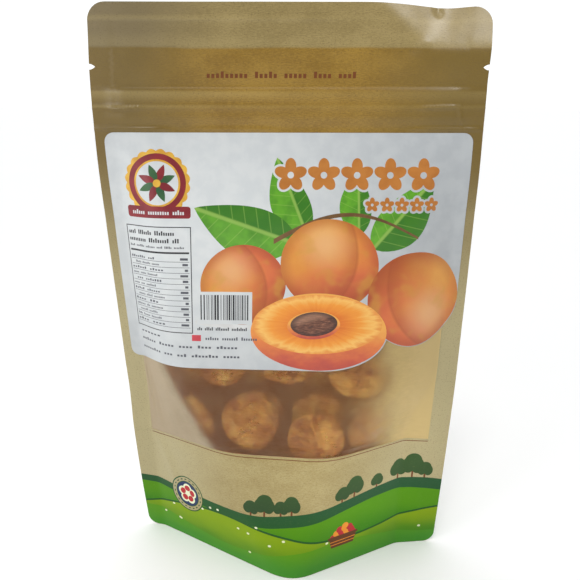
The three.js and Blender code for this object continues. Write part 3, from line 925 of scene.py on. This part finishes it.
def cut_flesh(paint):
    """A cut face: pale rim, deep orange towards the middle, with fine rays."""
    place = paint.place("art")
    rays = paint.noise(paint.node("VectorMath", {0: place}, operation="NORMALIZE"), 9, 3, 0.6)
    depth = paint.distance(place) + rays * 0.35 + paint.noise(place, 2.2, 3, 0.6) * 0.3 - 0.325
    return paint.ramp(depth, (0.1, rgb(196, 84, 8)), (0.42, rgb(226, 120, 18)), (0.7, rgb(240, 152, 44)),
                      (0.88, rgb(246, 190, 96)), (0.98, rgb(232, 150, 62)))


def half_skin(paint):
    """The outside of the halved fruit, seen below its cut face."""
    place = paint.place("art")
    share = paint.split(place)[1] * -0.55 + paint.noise(place, 2.5, 3, 0.6) * 0.5 - 0.1
    return paint.ramp(share, (0.05, rgb(238, 168, 74)), (0.3, rgb(226, 126, 56)),
                      (0.55, rgb(198, 84, 56)), (0.8, rgb(166, 62, 58)))


def stone_shell(paint):
    """A pitted brown shell, lit from above and dark round its rim."""
    place = paint.place("art")
    s, t = paint.split(place)
    pits = paint.noise(paint.place("art", 2.2, 5.5), 1.6, 4, 0.65)
    stone = paint.ramp(pits, (0.3, rgb(52, 26, 20)), (0.5, rgb(104, 60, 40)), (0.68, rgb(158, 104, 74)))
    lit = (t - s * 0.4).span(0.05, 0.6, 0.0, 0.4)
    rim = paint.distance(place).span(0.62, 1.0, 0.0, 0.75)
    return paint.layers(stone, (lit, rgb(196, 148, 118)), (rim, rgb(42, 18, 14)))


def leaf_blade(paint):
    """A leaf along s from 0 to 1, with a pale midrib, side veins and one half in shade."""
    place = paint.place("art")
    s, t = paint.split(place)
    veins = paint.math("PINGPONG", (s - abs(t) * 0.5) * 8.0, 0.5).span(0.0, 0.07, 0.4, 0.0)
    rib = abs(t).span(0.006, 0.028, 0.75, 0.0)
    return paint.layers(
        rgb(58, 122, 16),
        (t.span(-0.03, 0.03), rgb(98, 166, 34)),
        (paint.noise(place, 4, 3, 0.6).span(0.35, 0.7, 0.0, 0.6), rgb(44, 112, 20)),
        (paint.math("MAXIMUM", veins, rib), rgb(150, 188, 84)),
    )


def make_film():
    """Milky film that blurs what is behind it: white at its left, where it lies in a fold and a
    painted reflection whitens it, and clearer where the fruit is close behind it, as the `haze`
    of its points says."""
    paint = Paint("milky_film", Roughness=0.3, Specular_IOR_Level=0.4, Coat_Weight=0.4,
                  Coat_Roughness=0.2, IOR=1.2)
    scuffs = paint.fibres(30, 120, 4, 0.7)
    haze = paint.attribute("haze") + paint.fibres(9, 9, 4, 0.6) * 0.3 + scuffs * 0.2 - 0.25
    across = paint.split(paint.place("sheet"))[0]
    milk = paint.mix(across.span(-0.3, 0.5), rgb(193, 174, 144), rgb(222, 196, 135))
    return paint.set(
        Base_Color=paint.mix(haze.span(0.0, 0.6), rgb(226, 152, 102), milk),
        Alpha=haze.span(0.0, 0.25, 0.3, 0.5) + haze.span(0.3, 1.0, 0.0, 0.42),
        Transmission_Weight=haze.span(0.2, 0.6, 0.76, 0.2),
        Normal=paint.bump(paint.fibres(45, 45, 4, 0.55) + scuffs * 0.5, 0.0001, 0.5),
    )


def make_zip_plastic():
    paint = Paint("zip_plastic", Roughness=0.32, Coat_Weight=0.2, Coat_Roughness=0.2,
                  Subsurface_Weight=0.15, Subsurface_Scale=0.001)
    place = paint.node("TexCoord", output="Object")
    drawn = paint.noise(paint.node("Mapping", {"Vector": place, "Scale": (60, 2500, 2500)}), 1.0)
    colour = paint.mix(drawn, rgb(226, 222, 208), rgb(204, 198, 180))
    return paint.set(Base_Color=colour, Normal=paint.bump(drawn, 0.00005, 0.3))


def make_dried_fruit():
    """Dried apricot: amber on its swells, slightly translucent, with painted shade browning its folds,
    cleft and rim.
    """
    paint = Paint("dried_apricot", Roughness=0.46, Subsurface_Weight=0.3, Subsurface_Scale=0.004,
                  Subsurface_Radius=(1.0, 0.45, 0.15), Coat_Weight=0.15, Coat_Roughness=0.3)
    place = paint.node("TexCoord", output="Object")
    grain = paint.noise(place, 1400, 3, 0.6)
    share = paint.noise(place, 110, 4, 0.6) * 2.2 - 1.35 + paint.attribute("tone") * 0.35
    colour = paint.ramp(share + paint.noise(place, 420, 4, 0.7) * 1.3,
                        (0.1, rgb(224, 218, 138)), (0.36, rgb(202, 184, 102)),
                        (0.6, rgb(170, 138, 70)), (0.95, rgb(112, 74, 38)))
    # Painted shade: the `fold` value darkens the folds, the cleft and the rim.
    colour = paint.layers(colour, (paint.attribute("fold") * 0.85, rgb(84, 40, 18)),
                          (grain.span(0.62, 0.78, 0.0, 0.3), rgb(230, 184, 112)))
    return paint.set(Base_Color=colour, Normal=paint.bump(grain, 0.00012, 0.5))


def make_floor():
    paint = Paint("pale_floor", Roughness=0.7)
    cloud = paint.noise(paint.node("TexCoord", output="Object"), 6)
    return paint.set(Base_Color=paint.mix(cloud, (0.965, 0.965, 0.965, 1), (0.98, 0.98, 0.98, 1)))


kraft = make_kraft()
kraft_inside = make_kraft_inside()
paper_edge = make_cut_edge()
# Inks on kraft: the lower and the upper colour, and the heights between which they change.
INK = {
    name: make_print("ink_" + name, low_ink, high_ink, low, high)
    for name, low_ink, high_ink, low, high in (
        ("deep_green", (30, 86, 26), (38, 82, 50), 12, 40),
        ("grass", (42, 120, 8), (82, 142, 0), 8, 26),
        ("lime", (52, 126, 18), (130, 160, 0), 2, 18),
        ("meadow", (66, 140, 38), (92, 150, 6), 0, 14),
        ("tree", (44, 70, 40), (58, 86, 44), 20, 50),
        ("brown", (92, 52, 28), (112, 64, 34), 0, 40),
        ("cream", (226, 232, 190), (236, 238, 206), 0, 40),
        ("orange", (224, 132, 36), (236, 158, 60), 0, 40),
        ("navy", (40, 52, 88), (44, 56, 96), 0, 40),
        ("red", (176, 40, 48), (188, 48, 54), 0, 40),
    )
}
LABEL = {
    name: label_material("label_" + name, colour, *settings)
    for name, colour, *settings in (
        ("stock", stock_with_painted_shade),
        ("back", clouded, (214, 210, 200), (204, 200, 190)),
        ("ochre", clouded, (188, 120, 50), (178, 110, 42)),
        ("maroon", clouded, (122, 24, 34), (138, 30, 38)),
        ("gold", clouded, (226, 178, 62), (204, 150, 44)),
        ("green", clouded, (40, 84, 48), (52, 98, 52)),
        ("grey", clouded, (74, 76, 84), (84, 86, 94)),
        ("black", clouded, (34, 34, 38), (40, 40, 44)),
        ("red", clouded, (206, 62, 74), (196, 54, 66)),
        ("shadow", clouded, (208, 208, 206), (218, 219, 218)),
        ("twig", clouded, (96, 66, 34), (120, 86, 46)),
        ("flesh", cut_flesh),
        ("half_skin", half_skin),
        ("stone", stone_shell),
        ("leaf", leaf_blade),
        ("fruit", ripe_skin, 0.3),
        ("fruit_red", ripe_skin, -0.7),
    )
}


# --- Printing --------------------------------------------------------------------------------


class Print(list):
    """The shapes of one print, the lowest first, in the materials of one palette."""

    def __init__(self, palette):
        super().__init__()
        self.palette = palette

    def draw(self, ink, outline, centre=(0, 0), size=(1, 1), degrees=0):
        self.append(Shape(np.array(outline, float), self.palette[ink], centre, size, degrees))

    def oval(self, ink, centre, across, up=None, degrees=0, count=64):
        size = (across, across if up is None else up)
        self.draw(ink, ellipse(centre, *size, degrees, count), centre, size, degrees)

    def box(self, ink, *corners):
        self.draw(ink, rectangle(*corners))

    def leaf(self, ink, base, length, width, degrees, bend=0.0):
        outline = turned(*leaf_outline(length, width, bend).T, degrees) + base
        self.draw(ink, outline, base, (length, length), degrees)

    def bars(self, ink, u0, u1, v, height, words, seed):
        """A row of plain upright bars in groups, as a stand-in for a line of small print."""
        pick = random.Random(seed)
        counts = [pick.randint(3, 9) for _ in range(words)]
        pitch = (u1 - u0) / (sum(counts) + 1.3 * (words - 1))
        u = u0
        for count in counts:
            for _ in range(count):
                self.box(ink, u, v, u + pitch * 0.66, v + height * pick.choice((0.66, 0.66, 0.7, 1.0)))
                u += pitch
            u += 1.3 * pitch

    def blossoms(self, u0, u1, v, size, count):
        """A row of plain five-petalled blossoms with a white margin."""
        middles = [(u0 + (u1 - u0) * (i + 0.5) / count, v) for i in range(count)]
        for margin, ink in ((0.9, "stock"), (0.0, "ochre")):
            for middle in middles:
                for degrees in range(18, 378, 72):
                    petal = around(middle, 0.27 * size, degrees)
                    self.oval(ink, petal, 0.24 * size + margin, 0.17 * size + margin, degrees, 28)
        for middle in middles:
            self.oval("stock", middle, 0.1 * size, count=20)


def print_fruit(art):
    """Whole apricots, a half with its stone, and a leafy twig."""
    for base, length, width, degrees, bend in (
        ((8, 156), 34, 17, 112, 2.0),
        ((4, 152), 46, 24, 161, 2.5),
        ((30, 156), 27, 14, 92, 1.5),
        ((36, 150), 38, 20, 50, -2.0),
    ):
        art.leaf("leaf", base, length, width, degrees, bend)
    u = np.linspace(-6, 55, 30)
    arch = 153 + 11.5 * np.sin(math.pi * (u + 6) / 64)
    half = np.linspace(1.1, 0.5, 30)
    upper = np.stack([u, arch + half], axis=1)
    art.draw("twig", np.concatenate([upper, np.stack([u, arch - half], axis=1)[::-1]]))

    # One on the left, one behind, one in the round cut, and the half in front.
    art.oval("shadow", (-10, 117.4), 30, 3.2)
    art.oval("fruit", (-19, 134), 18.5, 17.5, 12)
    art.oval("fruit_red", (18, 143), 21, 19.6, -14)
    art.oval("fruit", (ROUND_CUT.u, ROUND_CUT.v), ROUND_CUT.across - 0.25, degrees=-160)
    u, v = OVAL_CUT.u - 2, OVAL_CUT.v
    art.oval("half_skin", (u, v), OVAL_CUT.across + 1.6, OVAL_CUT.up - 0.25)
    art.oval("flesh", (u - 0.6, v + 3.4), OVAL_CUT.across + 0.2, OVAL_CUT.up - 4.4, 1)
    art.oval("half_skin", (u - 2.1, v + 3.1), 11.5, 6.2, 4)
    art.oval("stone", (u - 2.0, v + 3.7), 10.2, 5.4, 4)


def print_seal(art):
    """Scallops, a gold ring round eight small leaves, and a plain ribbon under them."""
    middle = (-55, 177)
    angle = np.arange(240) / 240 * 2 * math.pi
    reach = 13.2 + 0.9 * np.abs(np.sin(angle * 10))
    art.draw("gold", np.stack([reach * np.cos(angle), reach * np.sin(angle)], axis=1) + middle)
    for radius, ink in ((12.2, "maroon"), (9.8, "gold"), (9.0, "stock")):
        art.oval(ink, middle, radius)
    for i in range(8):
        degrees = 45 * i + 22.5
        art.leaf("maroon" if i % 2 else "green", around(middle, 0.8, degrees), 7.4, 3.4, degrees)
    art.oval("gold", middle, 1.6)
    art.draw("maroon", rounded(-69, 162.5, -41, 167.5, 1.2))
    art.bars("stock", -66.5, -43.5, 164.0, 1.9, 3, 50)


def print_table(art):
    """A ruled table of plain bars."""
    art.box("black", -71, 112, -41, 159)
    art.box("stock", -70.6, 112.4, -41.4, 158.6)
    art.bars("black", -69.8, -48, 155.2, 1.9, 3, 1)
    art.bars("black", -69.8, -46, 152.0, 1.9, 3, 2)
    art.bars("grey", -69.8, -44, 149.6, 1.0, 6, 3)
    art.box("black", -70, 147.4, -42, 148.2)
    for i in range(13):
        v = 144.6 - i * 2.45
        indent = 2.0 if i % 3 == 1 else 0.0
        art.bars("grey", -69.8 + indent, -57 + (i * 7) % 5, v, 1.0, 2 + i % 2, 10 + i)
        art.box("grey", -46 + i % 3, v, -42.6, v + 1.0)
        art.box("grey", -70, v - 0.8, -42, v - 0.6)


def label_print():
    """The fruit beside a plain seal, a table, and ornaments in place of a title."""
    art = Print(LABEL)
    print_fruit(art)
    art.blossoms(-6, 63, 180.5, 13.6, 5)
    art.blossoms(32, 63, 168.5, 6, 5)
    print_seal(art)
    print_table(art)
    art.bars("grey", -69, -56, 109.0, 1.1, 1, 40)
    art.bars("grey", -69, -21, 105.2, 1.35, 5, 41)
    art.bars("grey", -69, -20, 101.0, 1.35, 5, 42)
    art.bars("black", -39, -17, 113.6, 1.5, 4, 43)
    art.box("red", -41.5, 108.6, -37.5, 111.4)
    art.bars("grey", -35.5, -12.5, 109.2, 1.5, 3, 44)
    # Plain bars in place of a code.
    art.box("stock", -39, 116.6, -15, 131)
    pick = random.Random(5)
    u = -37.5
    while u < -17:
        width = pick.choice((0.3, 0.3, 0.55, 0.8))
        art.box("black", u, 118.4, u + width, 129.6)
        u += width + pick.choice((0.35, 0.5, 0.8))
    return art


# The hills' inks and crests, the farthest first: a middle height, a wave's height, shift and
# length, and how far and from where the crest rises towards the right.
HILLS = [
    ("deep_green", 30.5, 3.4, 8, 27, 3.4, 20),
    ("grass", 25.6, 3.6, 14, 26, 1.8, 10),
    ("deep_green", 18.6, 4.6, -62, 21, 0, 0),
    ("lime", 17.6, 4.6, -62, 21, 0, 0),
    ("meadow", 9.5, 3.2, -6, 17, 0, 0),
]
# The trees' places, heights and widths.
TREES = [
    (-16, 8.5, 3.6), (-9.5, 11.5, 4.6), (-2, 8, 3.4), (3, 10, 3.9), (27, 9, 3.8),
    (33.5, 12, 4.8), (46, 8, 3.4), (58, 11.5, 4.6), (65.5, 14, 5.2), (71.5, 9.5, 3.6),
]


def crest(u, middle, wave, shift, length, rise, start):
    return middle + wave * np.sin((u - shift) / length) + rise * smooth((u - start) / 60)


def print_hills(art, mirrored=1):
    """Everything under each crest, wider than the pouch."""
    u = np.linspace(-84, 84, 85)
    for ink, *shape in HILLS:
        top = np.stack([u, crest(mirrored * u, *shape)], axis=1)
        art.draw(ink, np.concatenate([top, [(84, -4), (-84, -4)]]))


def print_basket(art, u, v):
    """A basket heaped with fruit. The middle of its foot is at (u, v)."""
    for row, (count, dv) in enumerate(((5, 5.4), (4, 7.2), (3, 8.8), (1, 10.0))):
        for i in range(count):
            centre = (u + 2.7 * (i - (count - 1) / 2) + 0.3 * row, v + dv)
            art.oval("orange" if (i + row) % 2 else "red", centre, 1.75, 1.6, 0, 20)
    art.draw("brown", [(u - 7.6, v + 5.4), (u + 7.6, v + 5.4), (u + 6, v), (u - 6, v)])
    for dv in (1.3, 2.9):
        half = 6 + 0.27 * dv
        art.box("orange", u - half, v + dv, u + half, v + dv + 0.35)
    art.draw("brown", rounded(u - 8.2, v + 4.6, u + 8.2, v + 5.8, 0.5))


def print_badge(art, middle):
    """Rings round a plain five-petalled flower."""
    for radius, ink in ((9.6, "deep_green"), (9.0, "kraft"), (6.9, "deep_green"), (6.5, "navy")):
        art.oval(ink, middle, radius, count=56)
    for ink, reach, across, up in (("cream", 3.1, 2.4, 2.5), ("red", 2.9, 1.5, 1.7)):
        for degrees in range(18, 378, 72):
            art.oval(ink, around(middle, reach, degrees), across, up, degrees, 24)
    art.oval("cream", middle, 1.2, count=16)
    for i in range(20):
        art.oval("deep_green", around(middle, 7.9, 18 * i + 4), 0.75, 0.35, 18 * i + 94, 8)


def front_print():
    """Rolling green hills with round-crowned orchard trees, a basket and a plain round badge, and
    a row of small print above the zip."""
    art = Print({**INK, "kraft": kraft})
    for u, height, across in TREES:
        foot = crest(u, *HILLS[0][1:]) - 0.8
        art.box("brown", u - 0.45, foot, u + 0.45, foot + height * 0.5)
        for du, dv, share in ((-0.42, 0.52, 0.62), (0.42, 0.5, 0.6), (0, 0.68, 0.8)):
            centre = (u + du * across, foot + height * dv)
            art.oval("tree", centre, across * share, height * 0.3, 0, 30)
    print_hills(art)
    pick = random.Random(8)
    for _ in range(16):
        art.oval("cream", (pick.uniform(-72, 72), pick.uniform(5, 24)), 0.75, 0.55, 0, 12)
    print_basket(art, 29, 10)
    print_badge(art, (-53, 26))
    art.bars("brown", -33, 27.5, 218.8, 2.5, 5, 77)
    # A painted shadow: a thin brown line along the window's lower fold.
    art.box("brown", -INNER, GUSSET - 1.5, INNER, GUSSET - 1.15)
    return art


def back_print():
    art = Print(INK)
    print_hills(art, -1)
    return art


# --- The pieces ------------------------------------------------------------------------------


def build_panel(panel, spacing, window, art):
    def outer(u, v):
        return panel_point(panel.side, u, v, SHEET / 2 + panel_relief(panel, u, v))

    def inner(u, v):
        # The welded layers meet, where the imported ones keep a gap.
        meeting = (GAP / 2 - TOUCH) * weld_share(u, v)
        return panel_point(panel.side, u, v, panel.folds(u, v) - SHEET / 2 - meeting)

    build_sheet(panel.node + "_paper", panel.node, panel.side, outer, inner,
                (kraft, kraft_inside, paper_edge), pouch_outline(), spacing, window, art)


def build_label():
    def inner(u, v, thickness=0.0):
        relief = panel_relief(FRONT_PANEL, u, v) * smooth((v - LABEL_LOW) / 4) * 0.8
        return panel_point(FRONT, u, v, SHEET / 2 + TOUCH + relief + thickness)

    def outer(u, v):
        return inner(u, v, LABEL_SHEET)

    materials = (LABEL["stock"], LABEL["back"], LABEL["back"])
    build_sheet("printed_label", "front_label", FRONT, outer, inner, materials,
                label_outline(), 1.3, shapes=label_print())


HAZE_REACH = 0.03  # in metres: fruit farther behind the film isn't seen


def build_film(fruits):
    def outer(u, v, offset=FILM / 2):
        return panel_point(FRONT, u, v, offset + film_relief(u, v))

    def inner(u, v):
        return outer(u, v, -FILM / 2)

    edge = INNER - TOUCH
    outline = rectangle(-edge, GUSSET + TOUCH, edge, WINDOW_TOP - TOUCH)
    piece, flat = build_sheet("milky_window_film", "window_film", FRONT, outer, inner,
                              [make_film()] * 3, outline, 1.0)

    # How far the nearest fruit is behind each point decides how milky the film looks there.
    points = [point.co for fruit in fruits for point in fruit.data.vertices]
    faces = np.concatenate([BALL_FACES + i * len(BALL_POINTS) for i in range(len(fruits))])
    tree = BVHTree.FromPolygons(points, faces.tolist())
    found = [tree.find_nearest(point.co, HAZE_REACH)[3] for point in piece.data.vertices]
    away = np.array([HAZE_REACH if distance is None else distance for distance in found]) / MM
    across, up = np.concatenate([flat, flat]).T
    # Painted reflection: the film is made milkier along its left side.
    left = 0.66 * smooth((3.2 - 0.58 * up - across) / 12)
    right = 0.8 * smooth((across - 20) / 64)
    add_values(piece.data, "haze", 0.2 * smooth(away / 5) + 0.2 * smooth(away / 30) + left + right)


GUSSET_ROW = 30  # millimetres of flat sheet to one step of s


def gusset_point(u, s, depth):
    """The gusset at u, from the foot of the front skirt at s = -2 to that of the back one at 2."""
    reach = np.abs(s)
    inward = -SHEET / 2 - TOUCH - depth
    height = np.where(reach > 1, (2 - reach) * SKIRT, SKIRT)
    front = panel_point(FRONT, u, height, inward)
    back = panel_point(BACK, u, height, inward)
    point = front + (back - front) * ((np.clip(s, -1, 1) + 1) / 2)[:, None]
    rise = 1 - np.minimum(reach, 1)
    top = RIDGE_MIDDLE + (RIDGE_END - RIDGE_MIDDLE) * (u / GUSSET_HALF) ** 2
    ripple = 0.5 * lumps(turned(u, 18 * s, 30), 17, 31) * rise * smooth((GUSSET_HALF - np.abs(u)) / 6)
    lift = SKIRT + (top - SKIRT) * rise**RIDGE_POWER + (SHEET - depth) + ripple
    point[:, 2] = np.where(reach > 1, height, lift)
    return point


def build_gusset():
    """A closed sheet in rows from skirt to skirt, whose lower face is the printed one."""
    columns = np.linspace(-GUSSET_HALF, GUSSET_HALF, 97)
    skirt = np.linspace(-2, -1, 8)[:-1]
    rows = np.concatenate([skirt, np.linspace(-1, 1, 57), -skirt[::-1]])
    u, s = (grid.ravel() for grid in np.meshgrid(columns, rows))
    count = len(u)
    at = np.arange(count).reshape(len(rows), len(columns))
    a, b, c, d = at[:-1, :-1], at[:-1, 1:], at[1:, 1:], at[1:, :-1]
    lower = (np.stack([a, d, c, b], axis=-1).reshape(-1, 4) + count).tolist()
    upper = np.stack([a, b, c, d], axis=-1).reshape(-1, 4).tolist()
    ring = [*at[0], *at[1:, -1], *at[-1, -2::-1], *at[-2:0:-1, 0]]
    walls = [(a, a + count, b + count, b) for a, b in zip(ring, ring[1:] + ring[:1])]
    slots = [0] * len(lower) + [1] * len(upper) + [2] * len(walls)
    points = np.concatenate([gusset_point(u, s, SHEET), gusset_point(u, s, 0.0)])
    piece = make_piece("gusset_paper", "bottom_gusset", points, lower + upper + walls,
                       (INK["meadow"], kraft_inside, paper_edge), slots, len(lower + upper))
    corners = corner_points(piece.data)
    place = np.stack([u, s * GUSSET_ROW], axis=1)[corners % count]
    half = np.array([GUSSET_HALF, 2 * GUSSET_ROW])
    # The two faces lie side by side in the baked picture.
    baked = (place + half) / (2 * half) * [0.48, 0.98] + [0.01, 0.01]
    baked[corners < count, 0] += 0.5
    add_map(piece.data, "sheet", place / 100)
    add_map(piece.data, "OFBake", baked)


FRUIT_COUNT = 26
FRUIT_DETAIL = 6  # an icosphere of 20,480 faces


def unit_ball():
    ball = bmesh.new()
    bmesh.ops.create_icosphere(ball, subdivisions=FRUIT_DETAIL, radius=1)
    points = np.array([point.co for point in ball.verts])
    faces = np.array([[point.index for point in face.verts] for face in ball.faces])
    ball.free()
    return points, faces


BALL_POINTS, BALL_FACES = unit_ball()


def fruit_frame(node):
    """A packed apricot's middle, its width, thickness and height directions, and half its size."""
    corners = np.array([point.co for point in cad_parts[node].data.vertices]) / MM
    corners = np.unique(corners.round(4), axis=0)
    middle = (corners.max(axis=0) + corners.min(axis=0)) / 2
    thick = np.linalg.svd(corners - corners.mean(axis=0), full_matrices=False)[2][2]
    thick = thick * (1 if thick[1] < 0 else -1)
    up = np.array([0, 0, 1.0]) - thick[2] * thick
    up /= np.linalg.norm(up)
    axes = np.stack([np.cross(up, thick), thick, up])
    local = (corners - middle) @ axes.T
    middle = middle + ((local.max(axis=0) + local.min(axis=0)) / 2) @ axes
    return middle, axes, np.ptp(local, axis=0) / 2


def build_fruit(index):
    """A dried apricot: a flattened, puckered cushion with a cleft where its stone was taken out."""
    node = f"dried_apricot_{index:02d}"
    middle, axes, half = fruit_frame(node)
    x, y, z = BALL_POINTS.T
    rim = np.hypot(x, z)
    angle = np.arctan2(z, x)
    seed = 100 + index
    pick = random.Random(seed)
    cleft = pick.uniform(-math.pi, math.pi)

    # The outline waves, and the cleft runs in from one side of it.
    wave = 1.05 - 0.022 * (1 + np.sin(3 * angle + index)) - 0.012 * (1 + np.sin(5 * angle + 2 * index))
    wave -= 0.04 * ridge(np.angle(np.exp(1j * (angle - cleft))), 0.3)
    plump = np.abs(y) ** 0.7 * np.sign(y)
    hollow = 1 - 0.14 * (1 - rim**2)
    local = np.stack([x * wave, plump * hollow, z * wave], axis=1) * half

    # Puckers run mostly from the rim inwards, over broader swells.
    broad = lumps(local, 8, seed)
    flow = np.stack([rim * 9, angle * 5.2 / math.pi * 4, y * 6], axis=1) + broad[:, None] * 1.6
    folds = ridge(lumps(flow, 3.4, seed + 40), 0.13)
    fine = lumps(local + broad[:, None] * 2, 1.6, seed + 80)
    across = x * math.sin(cleft) - z * math.cos(cleft)
    along = x * math.cos(cleft) + z * math.sin(cleft)
    slit = ridge(across + 0.05 * np.sin(along * 7), 0.035) * ridge(along - 0.35, 0.2)
    carve = 0.4 * folds * (0.3 + 0.7 * rim) + 0.5 * (1 - broad) + 0.14 * (1 - fine) + 0.8 * slit
    inwards = BALL_POINTS / half
    inwards /= np.linalg.norm(inwards, axis=1)[:, None]
    local = local - inwards * carve[:, None]

    piece = make_piece(f"apricot_{index:02d}", node, middle + local @ axes,
                       BALL_FACES.tolist(), [dried_fruit], [0] * len(BALL_FACES))
    # Painted shade held in `fold`: darker in the folds, the cleft and towards the rim.
    edge = smooth((rim - 0.5) / 0.5)
    shade = 0.5 * folds * (0.4 + 0.6 * rim) + slit + 0.22 * edge
    add_values(piece.data, "fold", np.clip(shade, 0, 1))
    add_values(piece.data, "tone", np.full(len(x), pick.uniform(0.0, 0.6)))
    return piece


# --- Camera, floor and light -----------------------------------------------------------------

CAMERA_PLACE = (0.63, -271.4, 217.45)  # in millimetres, before the model's shift
CAMERA_PITCH = 72.0
CAMERA_ROLL = 0.1
FOCAL_PIXELS = 641.0
IMAGE_PIXELS = 580
SENSOR = 36.0
FLOOR_RADIUS = 6.0
FLOOR_DROP = 0.0002
WORLD_COLOUR = (0.975, 0.99, 1.0, 1)
WORLD_NEAR = 0.27
WORLD_FAR = 1.12
WORLD_TURN = -8


def add_object(name, data):
    made = bpy.data.objects.new(name, data)
    bpy.context.scene.collection.objects.link(made)
    return made


def add_camera():
    data = bpy.data.cameras.new("camera")
    data.sensor_width = SENSOR
    data.lens = FOCAL_PIXELS * SENSOR / IMAGE_PIXELS
    data.clip_start = 0.01
    camera = add_object("camera", data)
    pitch = Matrix.Rotation(math.radians(CAMERA_PITCH), 4, "X")
    roll = Matrix.Rotation(math.radians(CAMERA_ROLL), 4, "Z")
    camera.matrix_world = Matrix.Translation((SHIFT + CAMERA_PLACE) * MM) @ pitch @ roll
    bpy.context.scene.camera = camera


def add_floor():
    mesh = bpy.data.meshes.new("floor")
    rim = ellipse((0, 0), FLOOR_RADIUS, FLOOR_RADIUS, count=96)
    mesh.from_pydata([(x, y, 0) for x, y in rim], [], [range(len(rim))])
    mesh.materials.append(make_floor())
    floor = add_object("floor", mesh)
    floor.location.z = -FLOOR_DROP


def add_world():
    """A white studio whose far side and ceiling are brighter than its near side."""
    world = bpy.data.worlds.new("studio")
    world.use_nodes = True
    nodes = Nodes(world.node_tree)
    toward = {"Vector": nodes.node("TexCoord", output="Generated"), "Angle": math.radians(WORLD_TURN)}
    ahead = nodes.split(nodes.node("VectorRotate", toward, rotation_type="Z_AXIS"))[1]
    background = world.node_tree.nodes["Background"]
    nodes.give(background.inputs["Color"], WORLD_COLOUR)
    nodes.give(background.inputs["Strength"], ahead.span(-0.7, 0.35, WORLD_NEAR, WORLD_FAR))
    bpy.context.scene.world = world


def add_light(name, kind, place, target, energy, **settings):
    data = bpy.data.lights.new(name, kind)
    data.energy = energy
    for key, value in settings.items():
        setattr(data, key, value)
    light = add_object(name, data)
    light.location = place
    light.rotation_euler = (Vector(target) - Vector(place)).to_track_quat("-Z", "Y").to_euler()


def add_spot(name, u, v, offset, energy, degrees):
    """A small lamp near one place of the front, which it makes shine."""
    target = panel_point(FRONT, u, v, 0) * MM
    add_light(name, "SPOT", target + offset, target, energy, spot_size=math.radians(degrees),
              spot_blend=1.0, shadow_soft_size=0.04)


def add_lights():
    add_world()
    add_light("key", "SUN", (0, 0, 0), (0.1, 0.44, -0.88), 0.9,
              angle=math.radians(18), color=(1.0, 0.985, 0.96))
    add_light("side", "AREA", (-0.29, -0.28, 0.29), (-0.02, 0, 0.14), 0.5, shape="DISK", size=0.2)
    add_spot("corner", 60, 237, (0.105, -0.152, 0.163), 1.15, 28)
    add_spot("foot", 36, 50, (0.16, -0.2, 0.03), 5.5, 10)


# --- Making it all ---------------------------------------------------------------------------

add_camera()
add_floor()
add_lights()
bpy.context.scene.view_settings.view_transform = "Standard"

dried_fruit = make_dried_fruit()
fruits = [build_fruit(index) for index in range(1, FRUIT_COUNT + 1)]
build_panel(FRONT_PANEL, 1.5, rectangle(-INNER, GUSSET, INNER, WINDOW_TOP), front_print())
build_panel(BACK_PANEL, 1.6, None, back_print())
build_gusset()
build_label()
build_film(fruits)

zip_plastic = make_zip_plastic()
for strip in ("zip_strip_front", "zip_strip_back"):
    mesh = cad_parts[strip].data
    mesh.materials.clear()
    mesh.materials.append(zip_plastic)
